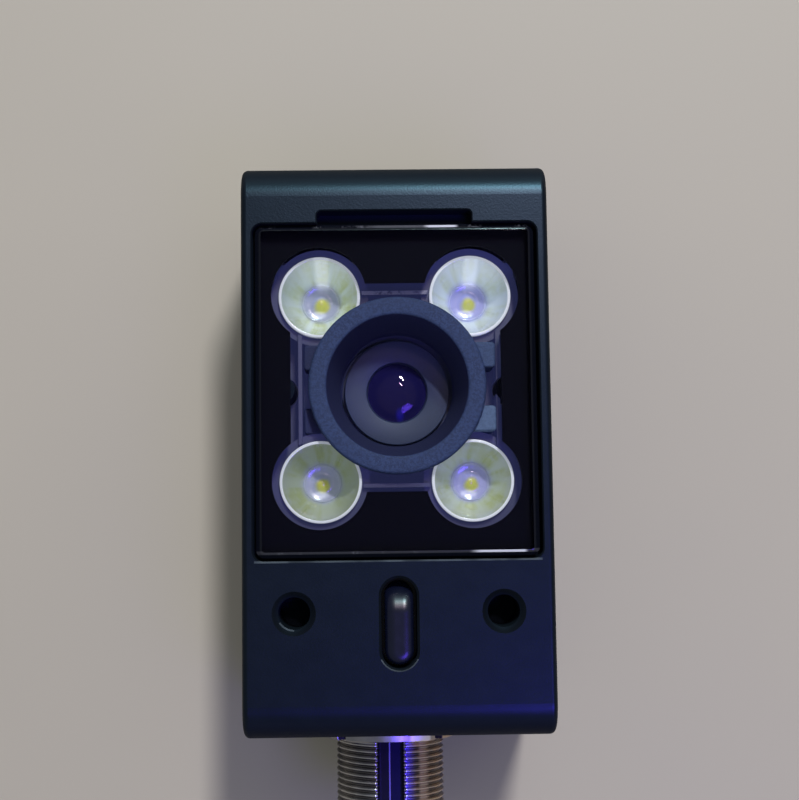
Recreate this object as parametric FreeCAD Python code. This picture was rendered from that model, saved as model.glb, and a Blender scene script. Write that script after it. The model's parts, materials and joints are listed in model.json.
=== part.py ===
"""Compact machine vision camera: ring of four LEDs, sealed window, M12 connector.

The camera lies on its back. X runs across it, Y along its long side with the
connector at the low end, and Z comes out of the front face. The origin is the
centre of the flat back. Every piece is one solid, or one group of like fasteners.
Lengths are in millimetres.
"""
import FreeCAD, Part
import math
import os

Vector = FreeCAD.Vector
UP = Vector(0, 0, 1)
ALONG = Vector(0, 1, 0)

# ---------------------------------------------------------------- housing
HOUSING_WIDTH = 32.0
HOUSING_DEPTH = 28.0
COVER_DEPTH = 5.5
END_ROUND = 3.5
EDGE_ROUND = 0.6
SIDE_WALL = 2.2
END_WALL = 3.0
FRONT_WALL = 4.0
COVER_FLOOR = 2.5
CAVITY_CORNER = 1.0
PARTING_CHAMFER = 0.25
GASKET_WIDTH = 0.9
GASKET_DEPTH = 0.8

# ---------------------------------------------------------------- window
POCKET_HEIGHT = 34.96
POCKET_FROM_TOP = 6.37
POCKET_FROM_BOTTOM = 18.12
POCKET_SIDE_WALL = 1.15
POCKET_CORNER = 1.1
POCKET_LIP = 0.12
LEDGE_WIDTH = 1.4
WINDOW_RECESS = 0.5
WINDOW_THICKNESS = 1.5
WINDOW_GAP = 0.3
WINDOW_BEVEL = 0.35
MASK_THICKNESS = 0.3
ADHESIVE_THICKNESS = 0.25
NOTCH_WIDTH = 16.16
NOTCH_HEIGHT = 1.3
NOTCH_CORNER = 0.5

# ---------------------------------------------------------------- light and lens layout
LENS_RISE = 0.48
LED_FROM_POCKET_X = 6.83
LED_FROM_POCKET_Y = 7.65
APERTURE_BORDER_X = 3.83
APERTURE_BORDER_Y = 6.53
LOBE_RADIUS = 5.0

# ---------------------------------------------------------------- hood
HOOD_GAP = 0.1
HOOD_LED_GAP = 0.25
HOOD_RIM_OVERHANG = 1.1
HOOD_RIM_WIDTH = 1.8
HOOD_RIM_DEPTH = 1.5
HOOD_TAPER = 1.15
HOOD_THROAT_DEPTH = 1.5
HOOD_LIP = 0.3
LUG_OVERHANG = 1.3
LUG_CUP_GAP = 0.25
LUG_INNER_SHARE = 0.43
LUG_DROP = 0.7
LEFT_LUG_OVERHANG = 0.55
LEFT_LUG_DROP = 2.1

# ---------------------------------------------------------------- light optics
COLLIMATOR_DROP = 2.0
COLLIMATOR_HEIGHT = 5.0
COLLIMATOR_RADIUS = 4.34
COLLIMATOR_RIM = 0.8
COLLIMATOR_WAIST = 3.85
COLLIMATOR_FOOT = 2.6
FOOT_RECESS_RADIUS = 2.1
FOOT_RECESS_DEPTH = 1.5
WELL_RADIUS = 2.0
WELL_DEPTH = 1.1
WELL_DOME = 0.5
CUP_CLEARANCE = 0.2
CUP_WALL = 0.8
CARRIER_PLATE = 1.2
CARRIER_MARGIN_X = 5.0
CARRIER_MARGIN_Y = 4.2
CARRIER_WALL = 0.4
CARRIER_WALL_GAP = 0.15
CARRIER_END_WALL_GAP = 0.85
EMITTER_SIZE = 2.6
EMITTER_HEIGHT = 0.6
EMITTER_DOME = 1.05

# ---------------------------------------------------------------- lens
LENS_DROP = 7.45
BARREL_RADIUS = 6.0
BARREL_FACE_RADIUS = 5.75
BARREL_FACE_DEPTH = 1.0
GLASS_VIEW_RADIUS = 3.4
FRONT_LIP = 0.6
ELEMENT_RADIUS = 4.0
ELEMENT_CLEARANCE = 0.05
FRONT_DOME = 0.85
FRONT_ELEMENT_SHARE = 0.26
MIDDLE_ELEMENT_SHARE = 0.26
REAR_ELEMENT_SHARE = 0.3
RETAINER_LENGTH = 1.2
RETAINER_BORE = 2.9
SPACER_BORE = 3.2
BARREL_TAIL = 0.2
THREAD_CLEARANCE = 0.05
LOCK_RING_RADIUS = 8.0
LOCK_RING_LENGTH = 1.2
LOCK_RING_SLOT = 1.6
LOCK_RING_GAP = 0.4
HOLDER_SIZE = 16.0
HOLDER_EAR_GAP = 1.7
HOLDER_EAR_WIDTH = 5.0
HOLDER_EAR_HEIGHT = 2.8
HOLDER_ROOM = 10.4
HOLDER_ROOM_HEIGHT = 2.4
SENSOR_SIZE = 9.0
SENSOR_HEIGHT = 1.2
BACK_FOCUS = 1.6

# ---------------------------------------------------------------- boards
BOARD_THICKNESS = 1.0
MAIN_BOARD_THICKNESS = 1.2
BOARD_SIDE_GAP = 0.5
BOARD_END_GAP = 0.35
BOARD_GAP = 1.5
HEAT_PAD_THICKNESS = 0.8
HEAT_PAD_SIZE = 13.0
PROCESSOR_SIZE = 12.0
PROCESSOR_HEIGHT = 1.2
MEMORY_WIDTH = 9.0
MEMORY_HEIGHT = 7.5
MEMORY_THICKNESS = 1.0
MEMORY_GAP = 0.3
CHIP_GAP = 1.0
LED_BOARD_WALL_GAP = 0.3
LED_BOARD_MARGIN_Y = 4.7
LED_BOARD_BORE_GAP = 0.6
LED_SCREW_POST_RADIUS = 1.5
LED_SCREW_INSET = 1.6
LINK_WIDTH = 12.0
LINK_DEPTH = 3.0
LED_HEADER_PINS = 6
STATUS_HEADER_PINS = 4
PIN_PITCH = 1.27
PIN_SIDE = 0.45
HEADER_DEPTH = 2.2
HEADER_HEIGHT = 2.0

# ---------------------------------------------------------------- screws: radius, head radius, head height
COVER_SCREW_RADIUS = 1.25
COVER_SCREW_HEAD = 2.05
COVER_SCREW_HEAD_HEIGHT = 2.0
COVER_SCREW_SINK = 0.4
COVER_SCREW_BITE = 6.0
COVER_SCREW_INSET = 4.0
COVER_SCREW_END_INSET = 6.25
COVER_SCREW_KEY = 1.0
SCREW_POST_RADIUS = 2.4
BOARD_SCREW_RADIUS = 1.0
BOARD_SCREW_HEAD = 1.8
BOARD_SCREW_HEAD_HEIGHT = 1.2
BOARD_SCREW_BITE = 4.0
BOARD_POST_RADIUS = 1.8
BOARD_POST_SIDE_GAP = 1.0
BOARD_POST_INSET = 2.1
BOARD_POST_GAP = 0.15
SMALL_SCREW_RADIUS = 0.7
SMALL_SCREW_HEAD = 1.35
SMALL_SCREW_HEAD_HEIGHT = 0.9
SMALL_SCREW_BITE = 2.4
SCREW_HOLE_GAP = 0.1
HEAD_HOLE_GAP = 0.15
KEY_DEPTH = 0.6

# ---------------------------------------------------------------- mounting holes and status light
HOLE_FROM_SIDE = 5.3
HOLE_FROM_POCKET = 5.3
HOLE_RADIUS = 1.65
HOLE_DEPTH = 6.5
HOLE_CHAMFER_RADIUS = 2.25
HOLE_BOSS_RADIUS = 3.3
HOLE_FLOOR = 0.8
STATUS_FROM_POCKET = 6.41
SLOT_WIDTH = 3.65
SLOT_LENGTH = 9.15
SLOT_LIP = 0.25
PIPE_GAP = 0.37
PIPE_RECESS = 0.25
PIPE_ROUND = 0.5
PIPE_FLANGE = 0.7
PIPE_FLANGE_DEPTH = 1.0
PIPE_FOOT_RADIUS = 1.2
STATUS_LED_SIZE = 1.8
STATUS_LED_HEIGHT = 0.7
STATUS_LED_GAP = 0.25
STATUS_BOARD_DROP = 3.0
STATUS_BOARD_GAP = 0.65
STATUS_BOARD_HEIGHT = 7.6
STATUS_POST_RADIUS = 1.5
STATUS_HEADER_EDGE = 0.2

# ---------------------------------------------------------------- connector, along Y
CONNECTOR_X = -1.0
CONNECTOR_RADIUS = 6.0
CONNECTOR_LENGTH = 11.1
CONNECTOR_BORE = 4.5
CONNECTOR_BORE_DEPTH = 9.25
CONNECTOR_HOLE_GAP = 0.1
CONNECTOR_END_CHAMFER = 0.5
INSERT_RADIUS = 4.95
INSERT_CLEARANCE = 0.05
GROOVE_WIDTH = 2.8
GROOVE_DEPTH = 0.9
FLANGE_RADIUS = 7.4
FLANGE_THICKNESS = 1.2
FLANGE_NOTCH = 0.8
SEAL_OUTER = 6.7
SEAL_THICKNESS = 0.6
NUT_ACROSS_FLATS = 13.8
NUT_THICKNESS = 2.2
NUT_BOARD_GAP = 0.3
PIN_COUNT = 7
PIN_CIRCLE = 2.75
PIN_RADIUS = 0.4
PIN_REACH = 7.4
PIN_TAIL = 0.6
KEY_WIDTH = 0.9
KEY_HEIGHT = 0.7
CONNECTOR_BOARD_WIDTH = 13.0
CONNECTOR_BOARD_TOP = 6.4

# ---------------------------------------------------------------- worked-out places
HOUSING_HEIGHT = POCKET_FROM_TOP + POCKET_HEIGHT + POCKET_FROM_BOTTOM
POCKET_WIDTH = HOUSING_WIDTH - 2 * POCKET_SIDE_WALL
SIDE = HOUSING_WIDTH / 2
END = HOUSING_HEIGHT / 2
CAVITY_X = SIDE - SIDE_WALL
CAVITY_Y = END - END_WALL
FRONT = HOUSING_DEPTH
CAVITY_TOP = FRONT - FRONT_WALL

WINDOW_TOP = FRONT - WINDOW_RECESS
WINDOW_BOTTOM = WINDOW_TOP - WINDOW_THICKNESS
MASK_BOTTOM = WINDOW_BOTTOM - MASK_THICKNESS
POCKET_FLOOR = MASK_BOTTOM - ADHESIVE_THICKNESS
POCKET_TOP_Y = END - POCKET_FROM_TOP
POCKET_BOTTOM_Y = POCKET_TOP_Y - POCKET_HEIGHT
POCKET_Y = (POCKET_TOP_Y + POCKET_BOTTOM_Y) / 2

LENS_Y = POCKET_Y + LENS_RISE
LED_SPACING_X = POCKET_WIDTH - 2 * LED_FROM_POCKET_X
LED_SPACING_Y = POCKET_HEIGHT - 2 * LED_FROM_POCKET_Y
LED_REACH = math.hypot(LED_SPACING_X, LED_SPACING_Y) / 2
APERTURE_WIDTH = POCKET_WIDTH - 2 * APERTURE_BORDER_X
APERTURE_HEIGHT = POCKET_HEIGHT - 2 * APERTURE_BORDER_Y
LED_PLACES = [
    (sx * LED_SPACING_X / 2, LENS_Y + sy * LED_SPACING_Y / 2)
    for sy in (1, -1) for sx in (-1, 1)
]

HOOD_TOP = WINDOW_BOTTOM - HOOD_GAP
COLLIMATOR_TOP = WINDOW_BOTTOM - COLLIMATOR_DROP
LED_BOARD_TOP = COLLIMATOR_TOP - COLLIMATOR_HEIGHT
LED_BOARD_BOTTOM = LED_BOARD_TOP - BOARD_THICKNESS
CUP_TOP = COLLIMATOR_TOP - COLLIMATOR_RIM
CUP_INNER = COLLIMATOR_WAIST + CUP_CLEARANCE
CUP_OUTER = CUP_INNER + CUP_WALL
HOOD_BODY_RADIUS = LED_REACH - COLLIMATOR_RADIUS - HOOD_LED_GAP
HOOD_RIM_RADIUS = HOOD_BODY_RADIUS + HOOD_RIM_OVERHANG
HOOD_MOUTH_RADIUS = HOOD_RIM_RADIUS - HOOD_RIM_WIDTH
HOOD_THROAT_RADIUS = HOOD_MOUTH_RADIUS - HOOD_TAPER
LUG_REACH = HOOD_RIM_RADIUS + LUG_OVERHANG
LEFT_LUG_REACH = HOOD_RIM_RADIUS + LEFT_LUG_OVERHANG
LUG_OUTER = LED_SPACING_Y / 2 - CUP_OUTER - LUG_CUP_GAP
LUG_INNER = LUG_OUTER * LUG_INNER_SHARE
LED_BOARD_HALF_HEIGHT = LED_SPACING_Y / 2 + LED_BOARD_MARGIN_Y
LED_SCREW_PLACES = [(side * (CAVITY_X - LED_SCREW_INSET), LENS_Y) for side in (-1, 1)]

MAIN_BOARD_BOTTOM = COVER_FLOOR + HEAT_PAD_THICKNESS + PROCESSOR_HEIGHT
MAIN_BOARD_TOP = MAIN_BOARD_BOTTOM + MAIN_BOARD_THICKNESS
SENSOR_BOARD_BOTTOM = MAIN_BOARD_TOP + BOARD_GAP
SENSOR_BOARD_TOP = SENSOR_BOARD_BOTTOM + BOARD_THICKNESS
SENSOR_TOP = SENSOR_BOARD_TOP + SENSOR_HEIGHT
BOARD_X = CAVITY_X - BOARD_SIDE_GAP
BOARD_END = CAVITY_Y - BOARD_END_GAP

LENS_FRONT = WINDOW_BOTTOM - LENS_DROP
BARREL_BOTTOM = SENSOR_TOP + BACK_FOCUS
LOCK_RING_TOP = LED_BOARD_BOTTOM - LOCK_RING_GAP
HOLDER_TOP = LOCK_RING_TOP - LOCK_RING_LENGTH
ELEMENT_TOP = LENS_FRONT - FRONT_LIP
RETAINER_BOTTOM = BARREL_BOTTOM + BARREL_TAIL
REAR_ELEMENT_BOTTOM = RETAINER_BOTTOM + RETAINER_LENGTH
ELEMENT_ROOM = ELEMENT_TOP - REAR_ELEMENT_BOTTOM
FRONT_ELEMENT_EDGE = ELEMENT_ROOM * FRONT_ELEMENT_SHARE
MIDDLE_ELEMENT_EDGE = ELEMENT_ROOM * MIDDLE_ELEMENT_SHARE
REAR_ELEMENT_EDGE = ELEMENT_ROOM * REAR_ELEMENT_SHARE
MIDDLE_ELEMENT_BOTTOM = REAR_ELEMENT_BOTTOM + REAR_ELEMENT_EDGE
SPACER_BOTTOM = MIDDLE_ELEMENT_BOTTOM + MIDDLE_ELEMENT_EDGE
FRONT_ELEMENT_BOTTOM = ELEMENT_TOP - FRONT_ELEMENT_EDGE

COVER_SCREW_PLACES = [
    (sx * (SIDE - COVER_SCREW_INSET), sy * (END - COVER_SCREW_END_INSET))
    for sx in (-1, 1) for sy in (-1, 1)
]
OPENING_WIDTH = POCKET_WIDTH - 2 * LEDGE_WIDTH
OPENING_HEIGHT = POCKET_HEIGHT - 2 * LEDGE_WIDTH
BOARD_POST_X = SIDE - COVER_SCREW_INSET - SCREW_POST_RADIUS - BOARD_POST_RADIUS - BOARD_POST_SIDE_GAP
LOWER_POST_Y = POCKET_Y - OPENING_HEIGHT / 2 - BOARD_POST_RADIUS - BOARD_POST_GAP
BOARD_POST_PLACES = [
    (sx * BOARD_POST_X, y)
    for sx in (-1, 1) for y in (CAVITY_Y - BOARD_POST_INSET, LOWER_POST_Y)
]
HOLDER_EAR_REACH = BOARD_X - HOLDER_EAR_GAP
HOLDER_SCREW_PLACES = [(side * (HOLDER_EAR_REACH - HOLDER_EAR_WIDTH / 2), LENS_Y) for side in (-1, 1)]
MEMORY_Y = LOWER_POST_Y + BOARD_SCREW_HEAD + MEMORY_GAP + MEMORY_HEIGHT / 2
PROCESSOR_Y = MEMORY_Y + MEMORY_HEIGHT / 2 + CHIP_GAP + PROCESSOR_SIZE / 2

HOLE_Y = POCKET_BOTTOM_Y - HOLE_FROM_POCKET
HOLE_X = SIDE - HOLE_FROM_SIDE
HOLE_PLACES = [(side * HOLE_X, HOLE_Y) for side in (-1, 1)]
STATUS_Y = POCKET_BOTTOM_Y - STATUS_FROM_POCKET
STATUS_BOARD_TOP = CAVITY_TOP - STATUS_BOARD_DROP
STATUS_BOARD_BOTTOM = STATUS_BOARD_TOP - BOARD_THICKNESS
STATUS_BOARD_WIDTH = 2 * (HOLE_X - HOLE_BOSS_RADIUS - STATUS_BOARD_GAP)
STATUS_POST_X = ((SLOT_WIDTH + PIPE_FLANGE) / 2 + HOLE_X - HOLE_BOSS_RADIUS) / 2
STATUS_HEADER_Y = STATUS_Y + STATUS_BOARD_HEIGHT / 2 - HEADER_DEPTH / 2 - STATUS_HEADER_EDGE
STATUS_SCREW_PLACES = [(side * STATUS_POST_X, STATUS_Y) for side in (-1, 1)]

CONNECTOR_Z = HOUSING_DEPTH / 2
FLANGE_END = -END - FLANGE_THICKNESS
CONNECTOR_END = FLANGE_END - CONNECTOR_LENGTH
CONNECTOR_FLOOR = CONNECTOR_END + CONNECTOR_BORE_DEPTH
NUT_END = -CAVITY_Y + NUT_THICKNESS
INSERT_END = NUT_END + PIN_TAIL
CONNECTOR_BOARD_END = INSERT_END + BOARD_THICKNESS


# ---------------------------------------------------------------- helpers
def save(name, shape):
    """Write one finished sub-part."""
    if not shape.isValid():
        raise ValueError(name + " is not a valid shape")
    shape.exportStep(os.path.join("parts", name + ".step"))
    print(name, len(shape.Solids), round(shape.Volume, 2))


def block(x_low, x_high, y_low, y_high, z_low, z_high):
    """A box between its six faces."""
    corner = Vector(x_low, y_low, z_low)
    return Part.makeBox(x_high - x_low, y_high - y_low, z_high - z_low, corner)


def rod(place, z_low, z_high, radius):
    """A cylinder along Z at an (x, y) place."""
    return Part.makeCylinder(radius, z_high - z_low, Vector(place[0], place[1], z_low), UP)


def connector_rod(y_low, y_high, radius):
    """A cylinder on the connector's axis."""
    start = Vector(CONNECTOR_X, y_low, CONNECTOR_Z)
    return Part.makeCylinder(radius, y_high - y_low, start, ALONG)


def turned(profile, place):
    """Revolve (radius, z) points about the vertical line at an (x, y) place."""
    points = [Vector(radius, 0, z) for radius, z in profile]
    face = Part.Face(Part.makePolygon(points + points[:1]))
    solid = face.revolve(Vector(0, 0, 0), UP, 360)
    solid.translate(Vector(place[0], place[1], 0))
    return solid


def rounded_plate(centre, width, height, z_low, z_high, corner):
    """A plate with four round corners, centred on an (x, y) place."""
    x_low, x_high = centre[0] - width / 2, centre[0] + width / 2
    y_low, y_high = centre[1] - height / 2, centre[1] + height / 2
    slant = corner * (1 - math.sqrt(0.5))
    corners = [
        ((x_high - corner, y_low), (x_high - slant, y_low + slant), (x_high, y_low + corner)),
        ((x_high, y_high - corner), (x_high - slant, y_high - slant), (x_high - corner, y_high)),
        ((x_low + corner, y_high), (x_low + slant, y_high - slant), (x_low, y_high - corner)),
        ((x_low, y_low + corner), (x_low + slant, y_low + slant), (x_low + corner, y_low)),
    ]
    edges = []
    for index, (start, middle, end) in enumerate(corners):
        arc = [Vector(x, y, z_low) for x, y in (start, middle, end)]
        following = corners[(index + 1) % len(corners)][0]
        edges.append(Part.Arc(*arc).toShape())
        edges.append(Part.makeLine(arc[2], Vector(following[0], following[1], z_low)))
    face = Part.Face(Part.Wire(edges))
    return face.extrude(Vector(0, 0, z_high - z_low))


def obround(centre, width, length, z_low, z_high):
    """A plate with round ends, its long side along Y."""
    reach = (length - width) / 2
    middle = block(centre[0] - width / 2, centre[0] + width / 2,
                   centre[1] - reach, centre[1] + reach, z_low, z_high)
    ends = [rod((centre[0], centre[1] + side * reach), z_low, z_high, width / 2) for side in (-1, 1)]
    return middle.fuse(ends).removeSplitter()


def dome_arc(radius, z_low, height):
    """Half of a spherical cap's outline, from its foot to the axis."""
    sphere = (radius ** 2 + height ** 2) / (2 * height)
    half = math.asin(radius / sphere) / 2
    centre_z = z_low + height - sphere
    middle = Vector(sphere * math.sin(half), 0, centre_z + sphere * math.cos(half))
    return Part.Arc(Vector(radius, 0, z_low), middle, Vector(0, 0, z_low + height)).toShape()


def edges_where(shape, test):
    """The edges whose every vertex passes a test on its point."""
    return [edge for edge in shape.Edges
            if edge.Vertexes and all(test(vertex.Point) for vertex in edge.Vertexes)]


def level(z):
    """A test for points at one height."""
    return lambda point: abs(point.z - z) < 1e-4


def screw(place, seat, length, radius, head_radius, head_height, key_radius):
    """A cylinder-head screw driven upwards, its head under the seat height."""
    head = rod(place, seat - head_height, seat, head_radius)
    shank = rod(place, seat, seat + length, radius)
    key = Part.makeCylinder(key_radius, KEY_DEPTH, Vector(place[0], place[1], seat - head_height), UP)
    return head.fuse(shank).removeSplitter().cut(key)


def group(shapes):
    """Several like solids as one node."""
    return Part.Compound(shapes)


def body_block(z_low, z_high, round_z, sign):
    """The housing's outer form over a height range, its ends rounded at round_z."""
    arc_z = round_z - sign * END_ROUND
    flat_z = z_low if sign > 0 else z_high
    slant = END_ROUND * (1 - math.sqrt(0.5))
    inner = END - END_ROUND
    points = {
        "low_far": Vector(-SIDE, -END, flat_z), "high_far": Vector(-SIDE, END, flat_z),
        "high_arc": Vector(-SIDE, END, arc_z), "high_top": Vector(-SIDE, inner, round_z),
        "low_top": Vector(-SIDE, -inner, round_z), "low_arc": Vector(-SIDE, -END, arc_z),
    }
    high_middle = Vector(-SIDE, END - slant, round_z - sign * slant)
    low_middle = Vector(-SIDE, -END + slant, round_z - sign * slant)
    edges = [
        Part.makeLine(points["low_far"], points["high_far"]),
        Part.makeLine(points["high_far"], points["high_arc"]),
        Part.Arc(points["high_arc"], high_middle, points["high_top"]).toShape(),
        Part.makeLine(points["high_top"], points["low_top"]),
        Part.Arc(points["low_top"], low_middle, points["low_arc"]).toShape(),
        Part.makeLine(points["low_arc"], points["low_far"]),
    ]
    solid = Part.Face(Part.Wire(edges)).extrude(Vector(HOUSING_WIDTH, 0, 0))
    outline = [edge for edge in edges_where(solid, lambda p: abs(abs(p.x) - SIDE) < 1e-4)
               if edge.BoundBox.XLength < EDGE_ROUND and not level(flat_z)(edge.CenterOfMass)]
    solid = solid.makeFillet(EDGE_ROUND, outline)
    parting = [edge for edge in solid.Edges
               if level(flat_z)(edge.CenterOfMass) and edge.BoundBox.ZLength < 1e-4]
    return solid.makeChamfer(PARTING_CHAMFER, parting)


def board_outline(y_low, y_high, z_low, z_high):
    """A board that fills the cavity, notched clear of the corner screw posts."""
    notch_x = COVER_SCREW_PLACES[2][0] - SCREW_POST_RADIUS - BOARD_END_GAP
    notch_y = COVER_SCREW_PLACES[3][1] - SCREW_POST_RADIUS - BOARD_END_GAP
    wide = block(-BOARD_X, BOARD_X, max(y_low, -notch_y), min(y_high, notch_y), z_low, z_high)
    tongue = block(-notch_x, notch_x, y_low, y_high, z_low, z_high)
    return wide.fuse(tongue).removeSplitter()


def corner_post(place, z_low, z_high):
    """A screw post joined to the two walls of its corner."""
    x, y = place
    reach_x = sorted((x, math.copysign(CAVITY_X + SIDE_WALL / 2, x)))
    reach_y = sorted((y, math.copysign(CAVITY_Y + END_WALL / 2, y)))
    near_x = sorted((x - math.copysign(SCREW_POST_RADIUS, x), reach_x[0] if x < 0 else reach_x[1]))
    near_y = sorted((y - math.copysign(SCREW_POST_RADIUS, y), reach_y[0] if y < 0 else reach_y[1]))
    to_side = block(reach_x[0], reach_x[1], near_y[0], near_y[1], z_low, z_high)
    to_end = block(near_x[0], near_x[1], reach_y[0], reach_y[1], z_low, z_high)
    return rod(place, z_low, z_high, SCREW_POST_RADIUS).fuse([to_side, to_end])


# ---------------------------------------------------------------- casing
def make_housing():
    """Front shell: window pocket, tapped holes, light slot and the inner posts."""
    shell = body_block(COVER_DEPTH, FRONT, FRONT, 1)
    cavity = rounded_plate((0, 0), 2 * CAVITY_X, 2 * CAVITY_Y, COVER_DEPTH, CAVITY_TOP, CAVITY_CORNER)
    shell = shell.cut(cavity)

    posts = [corner_post(place, COVER_DEPTH, CAVITY_TOP) for place in COVER_SCREW_PLACES]
    for x, y in BOARD_POST_PLACES:
        posts.append(rod((x, y), SENSOR_BOARD_TOP, CAVITY_TOP, BOARD_POST_RADIUS))
        if y > 0:
            web = block(x - BOARD_POST_RADIUS, x + BOARD_POST_RADIUS, y, END - END_WALL / 2,
                        SENSOR_BOARD_TOP, CAVITY_TOP)
            posts.append(web)
    for x, y in LED_SCREW_PLACES:
        posts.append(rod((x, y), LED_BOARD_TOP, CAVITY_TOP, LED_SCREW_POST_RADIUS))
        outward = sorted((x, math.copysign(SIDE - SIDE_WALL / 2, x)))
        posts.append(block(outward[0], outward[1], y - LED_SCREW_POST_RADIUS, y + LED_SCREW_POST_RADIUS,
                           LED_BOARD_TOP, CAVITY_TOP))
    boss_bottom = FRONT - HOLE_DEPTH - HOLE_FLOOR
    posts += [rod(place, boss_bottom, CAVITY_TOP, HOLE_BOSS_RADIUS) for place in HOLE_PLACES]
    posts += [rod(place, STATUS_BOARD_TOP, CAVITY_TOP, STATUS_POST_RADIUS) for place in STATUS_SCREW_PLACES]
    shell = shell.fuse(posts).removeSplitter()

    shell = shell.cut(window_pocket())
    bores = []
    for place in HOLE_PLACES:
        sink = HOLE_CHAMFER_RADIUS - HOLE_RADIUS
        bores.append(rod(place, FRONT - HOLE_DEPTH, FRONT, HOLE_RADIUS))
        bores.append(Part.makeCone(HOLE_RADIUS, HOLE_CHAMFER_RADIUS, sink,
                                   Vector(place[0], place[1], FRONT - sink), UP))
    bores.append(obround((0, STATUS_Y), SLOT_WIDTH, SLOT_LENGTH, CAVITY_TOP, FRONT))
    for place in COVER_SCREW_PLACES:
        bores.append(rod(place, COVER_DEPTH, COVER_DEPTH + COVER_SCREW_BITE,
                         COVER_SCREW_RADIUS + THREAD_CLEARANCE))
    for place in BOARD_POST_PLACES:
        bores.append(rod(place, SENSOR_BOARD_TOP, SENSOR_BOARD_TOP + BOARD_SCREW_BITE,
                         BOARD_SCREW_RADIUS + THREAD_CLEARANCE))
    for place in LED_SCREW_PLACES:
        bores.append(rod(place, LED_BOARD_TOP, LED_BOARD_TOP + SMALL_SCREW_BITE,
                         SMALL_SCREW_RADIUS + THREAD_CLEARANCE))
    for place in STATUS_SCREW_PLACES:
        bores.append(rod(place, STATUS_BOARD_TOP, STATUS_BOARD_TOP + SMALL_SCREW_BITE,
                         SMALL_SCREW_RADIUS + THREAD_CLEARANCE))
    bores.append(connector_rod(-END, -CAVITY_Y, CONNECTOR_RADIUS + CONNECTOR_HOLE_GAP))
    bores.append(connector_rod(-END, -END + SEAL_THICKNESS, SEAL_OUTER))
    shell = shell.cut(bores)

    slot_rim = [edge for edge in shell.Edges
                if level(FRONT)(edge.CenterOfMass) and edge.BoundBox.ZLength < 1e-4
                and abs(edge.CenterOfMass.y - STATUS_Y) < SLOT_LENGTH / 2 + SLOT_LIP
                and abs(edge.CenterOfMass.x) < SLOT_WIDTH]
    return shell.makeChamfer(SLOT_LIP, slot_rim)


def window_pocket():
    """The stepped recess for the window, its pry notch and its chamfered lip."""
    centre = (0, POCKET_Y)
    recess = rounded_plate(centre, POCKET_WIDTH, POCKET_HEIGHT, POCKET_FLOOR, FRONT, POCKET_CORNER)
    notch_y = POCKET_TOP_Y + (NOTCH_HEIGHT - NOTCH_CORNER) / 2
    notch = rounded_plate((0, notch_y), NOTCH_WIDTH, NOTCH_HEIGHT + NOTCH_CORNER, POCKET_FLOOR, FRONT,
                          NOTCH_CORNER)
    outline = recess.fuse(notch).removeSplitter()
    roof = [face for face in outline.Faces if level(FRONT)(face.CenterOfMass)][0]
    wide_wire = roof.makeOffset2D(POCKET_LIP).Wires[0]
    low_wire = roof.OuterWire.copy()
    low_wire.translate(Vector(0, 0, -POCKET_LIP))
    lip = Part.makeLoft([low_wire, wide_wire], True)
    opening = rounded_plate(centre, OPENING_WIDTH, OPENING_HEIGHT, CAVITY_TOP, POCKET_FLOOR, POCKET_CORNER)
    return outline.fuse([lip, opening])


def make_rear_cover():
    """Back shell with its gasket groove and sunk screw seats."""
    shell = body_block(0, COVER_DEPTH, 0, -1)
    cavity = rounded_plate((0, 0), 2 * CAVITY_X, 2 * CAVITY_Y, COVER_FLOOR, COVER_DEPTH, CAVITY_CORNER)
    shell = shell.cut(cavity)
    posts = [corner_post(place, COVER_FLOOR, COVER_DEPTH) for place in COVER_SCREW_PLACES]
    shell = shell.fuse(posts).removeSplitter()
    cuts = [gasket_ring()]
    for place in COVER_SCREW_PLACES:
        cuts.append(rod(place, 0, COVER_DEPTH, COVER_SCREW_RADIUS + SCREW_HOLE_GAP))
        cuts.append(rod(place, 0, COVER_SCREW_SINK + COVER_SCREW_HEAD_HEIGHT,
                        COVER_SCREW_HEAD + HEAD_HOLE_GAP))
    return shell.cut(cuts)


def gasket_ring():
    """The closed strip that fills the groove in the cover's rim."""
    middle_x = CAVITY_X + SIDE_WALL / 2
    middle_y = CAVITY_Y + SIDE_WALL / 2
    z_low = COVER_DEPTH - GASKET_DEPTH
    outer = rounded_plate((0, 0), 2 * middle_x + GASKET_WIDTH, 2 * middle_y + GASKET_WIDTH, z_low,
                          COVER_DEPTH, CAVITY_CORNER + GASKET_WIDTH)
    inner = rounded_plate((0, 0), 2 * middle_x - GASKET_WIDTH, 2 * middle_y - GASKET_WIDTH, z_low,
                          COVER_DEPTH, CAVITY_CORNER)
    return outer.cut(inner)


def make_cover_screws():
    """Four socket-head screws that pull the cover to the housing."""
    seat = COVER_SCREW_SINK + COVER_SCREW_HEAD_HEIGHT
    length = COVER_DEPTH - seat + COVER_SCREW_BITE - SCREW_HOLE_GAP
    return group([screw(place, seat, length, COVER_SCREW_RADIUS, COVER_SCREW_HEAD,
                        COVER_SCREW_HEAD_HEIGHT, COVER_SCREW_KEY) for place in COVER_SCREW_PLACES])


# ---------------------------------------------------------------- window stack
def window_blank(z_low, z_high):
    """A plate of the window's outline."""
    return rounded_plate((0, POCKET_Y), POCKET_WIDTH - 2 * WINDOW_GAP, POCKET_HEIGHT - 2 * WINDOW_GAP,
                         z_low, z_high, POCKET_CORNER - WINDOW_GAP)


def make_window():
    """Clear plate with a bevelled top edge."""
    plate = window_blank(WINDOW_BOTTOM, WINDOW_TOP)
    rim = [edge for edge in plate.Edges if level(WINDOW_TOP)(edge.CenterOfMass)]
    return plate.makeChamfer(WINDOW_BEVEL, rim)


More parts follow.
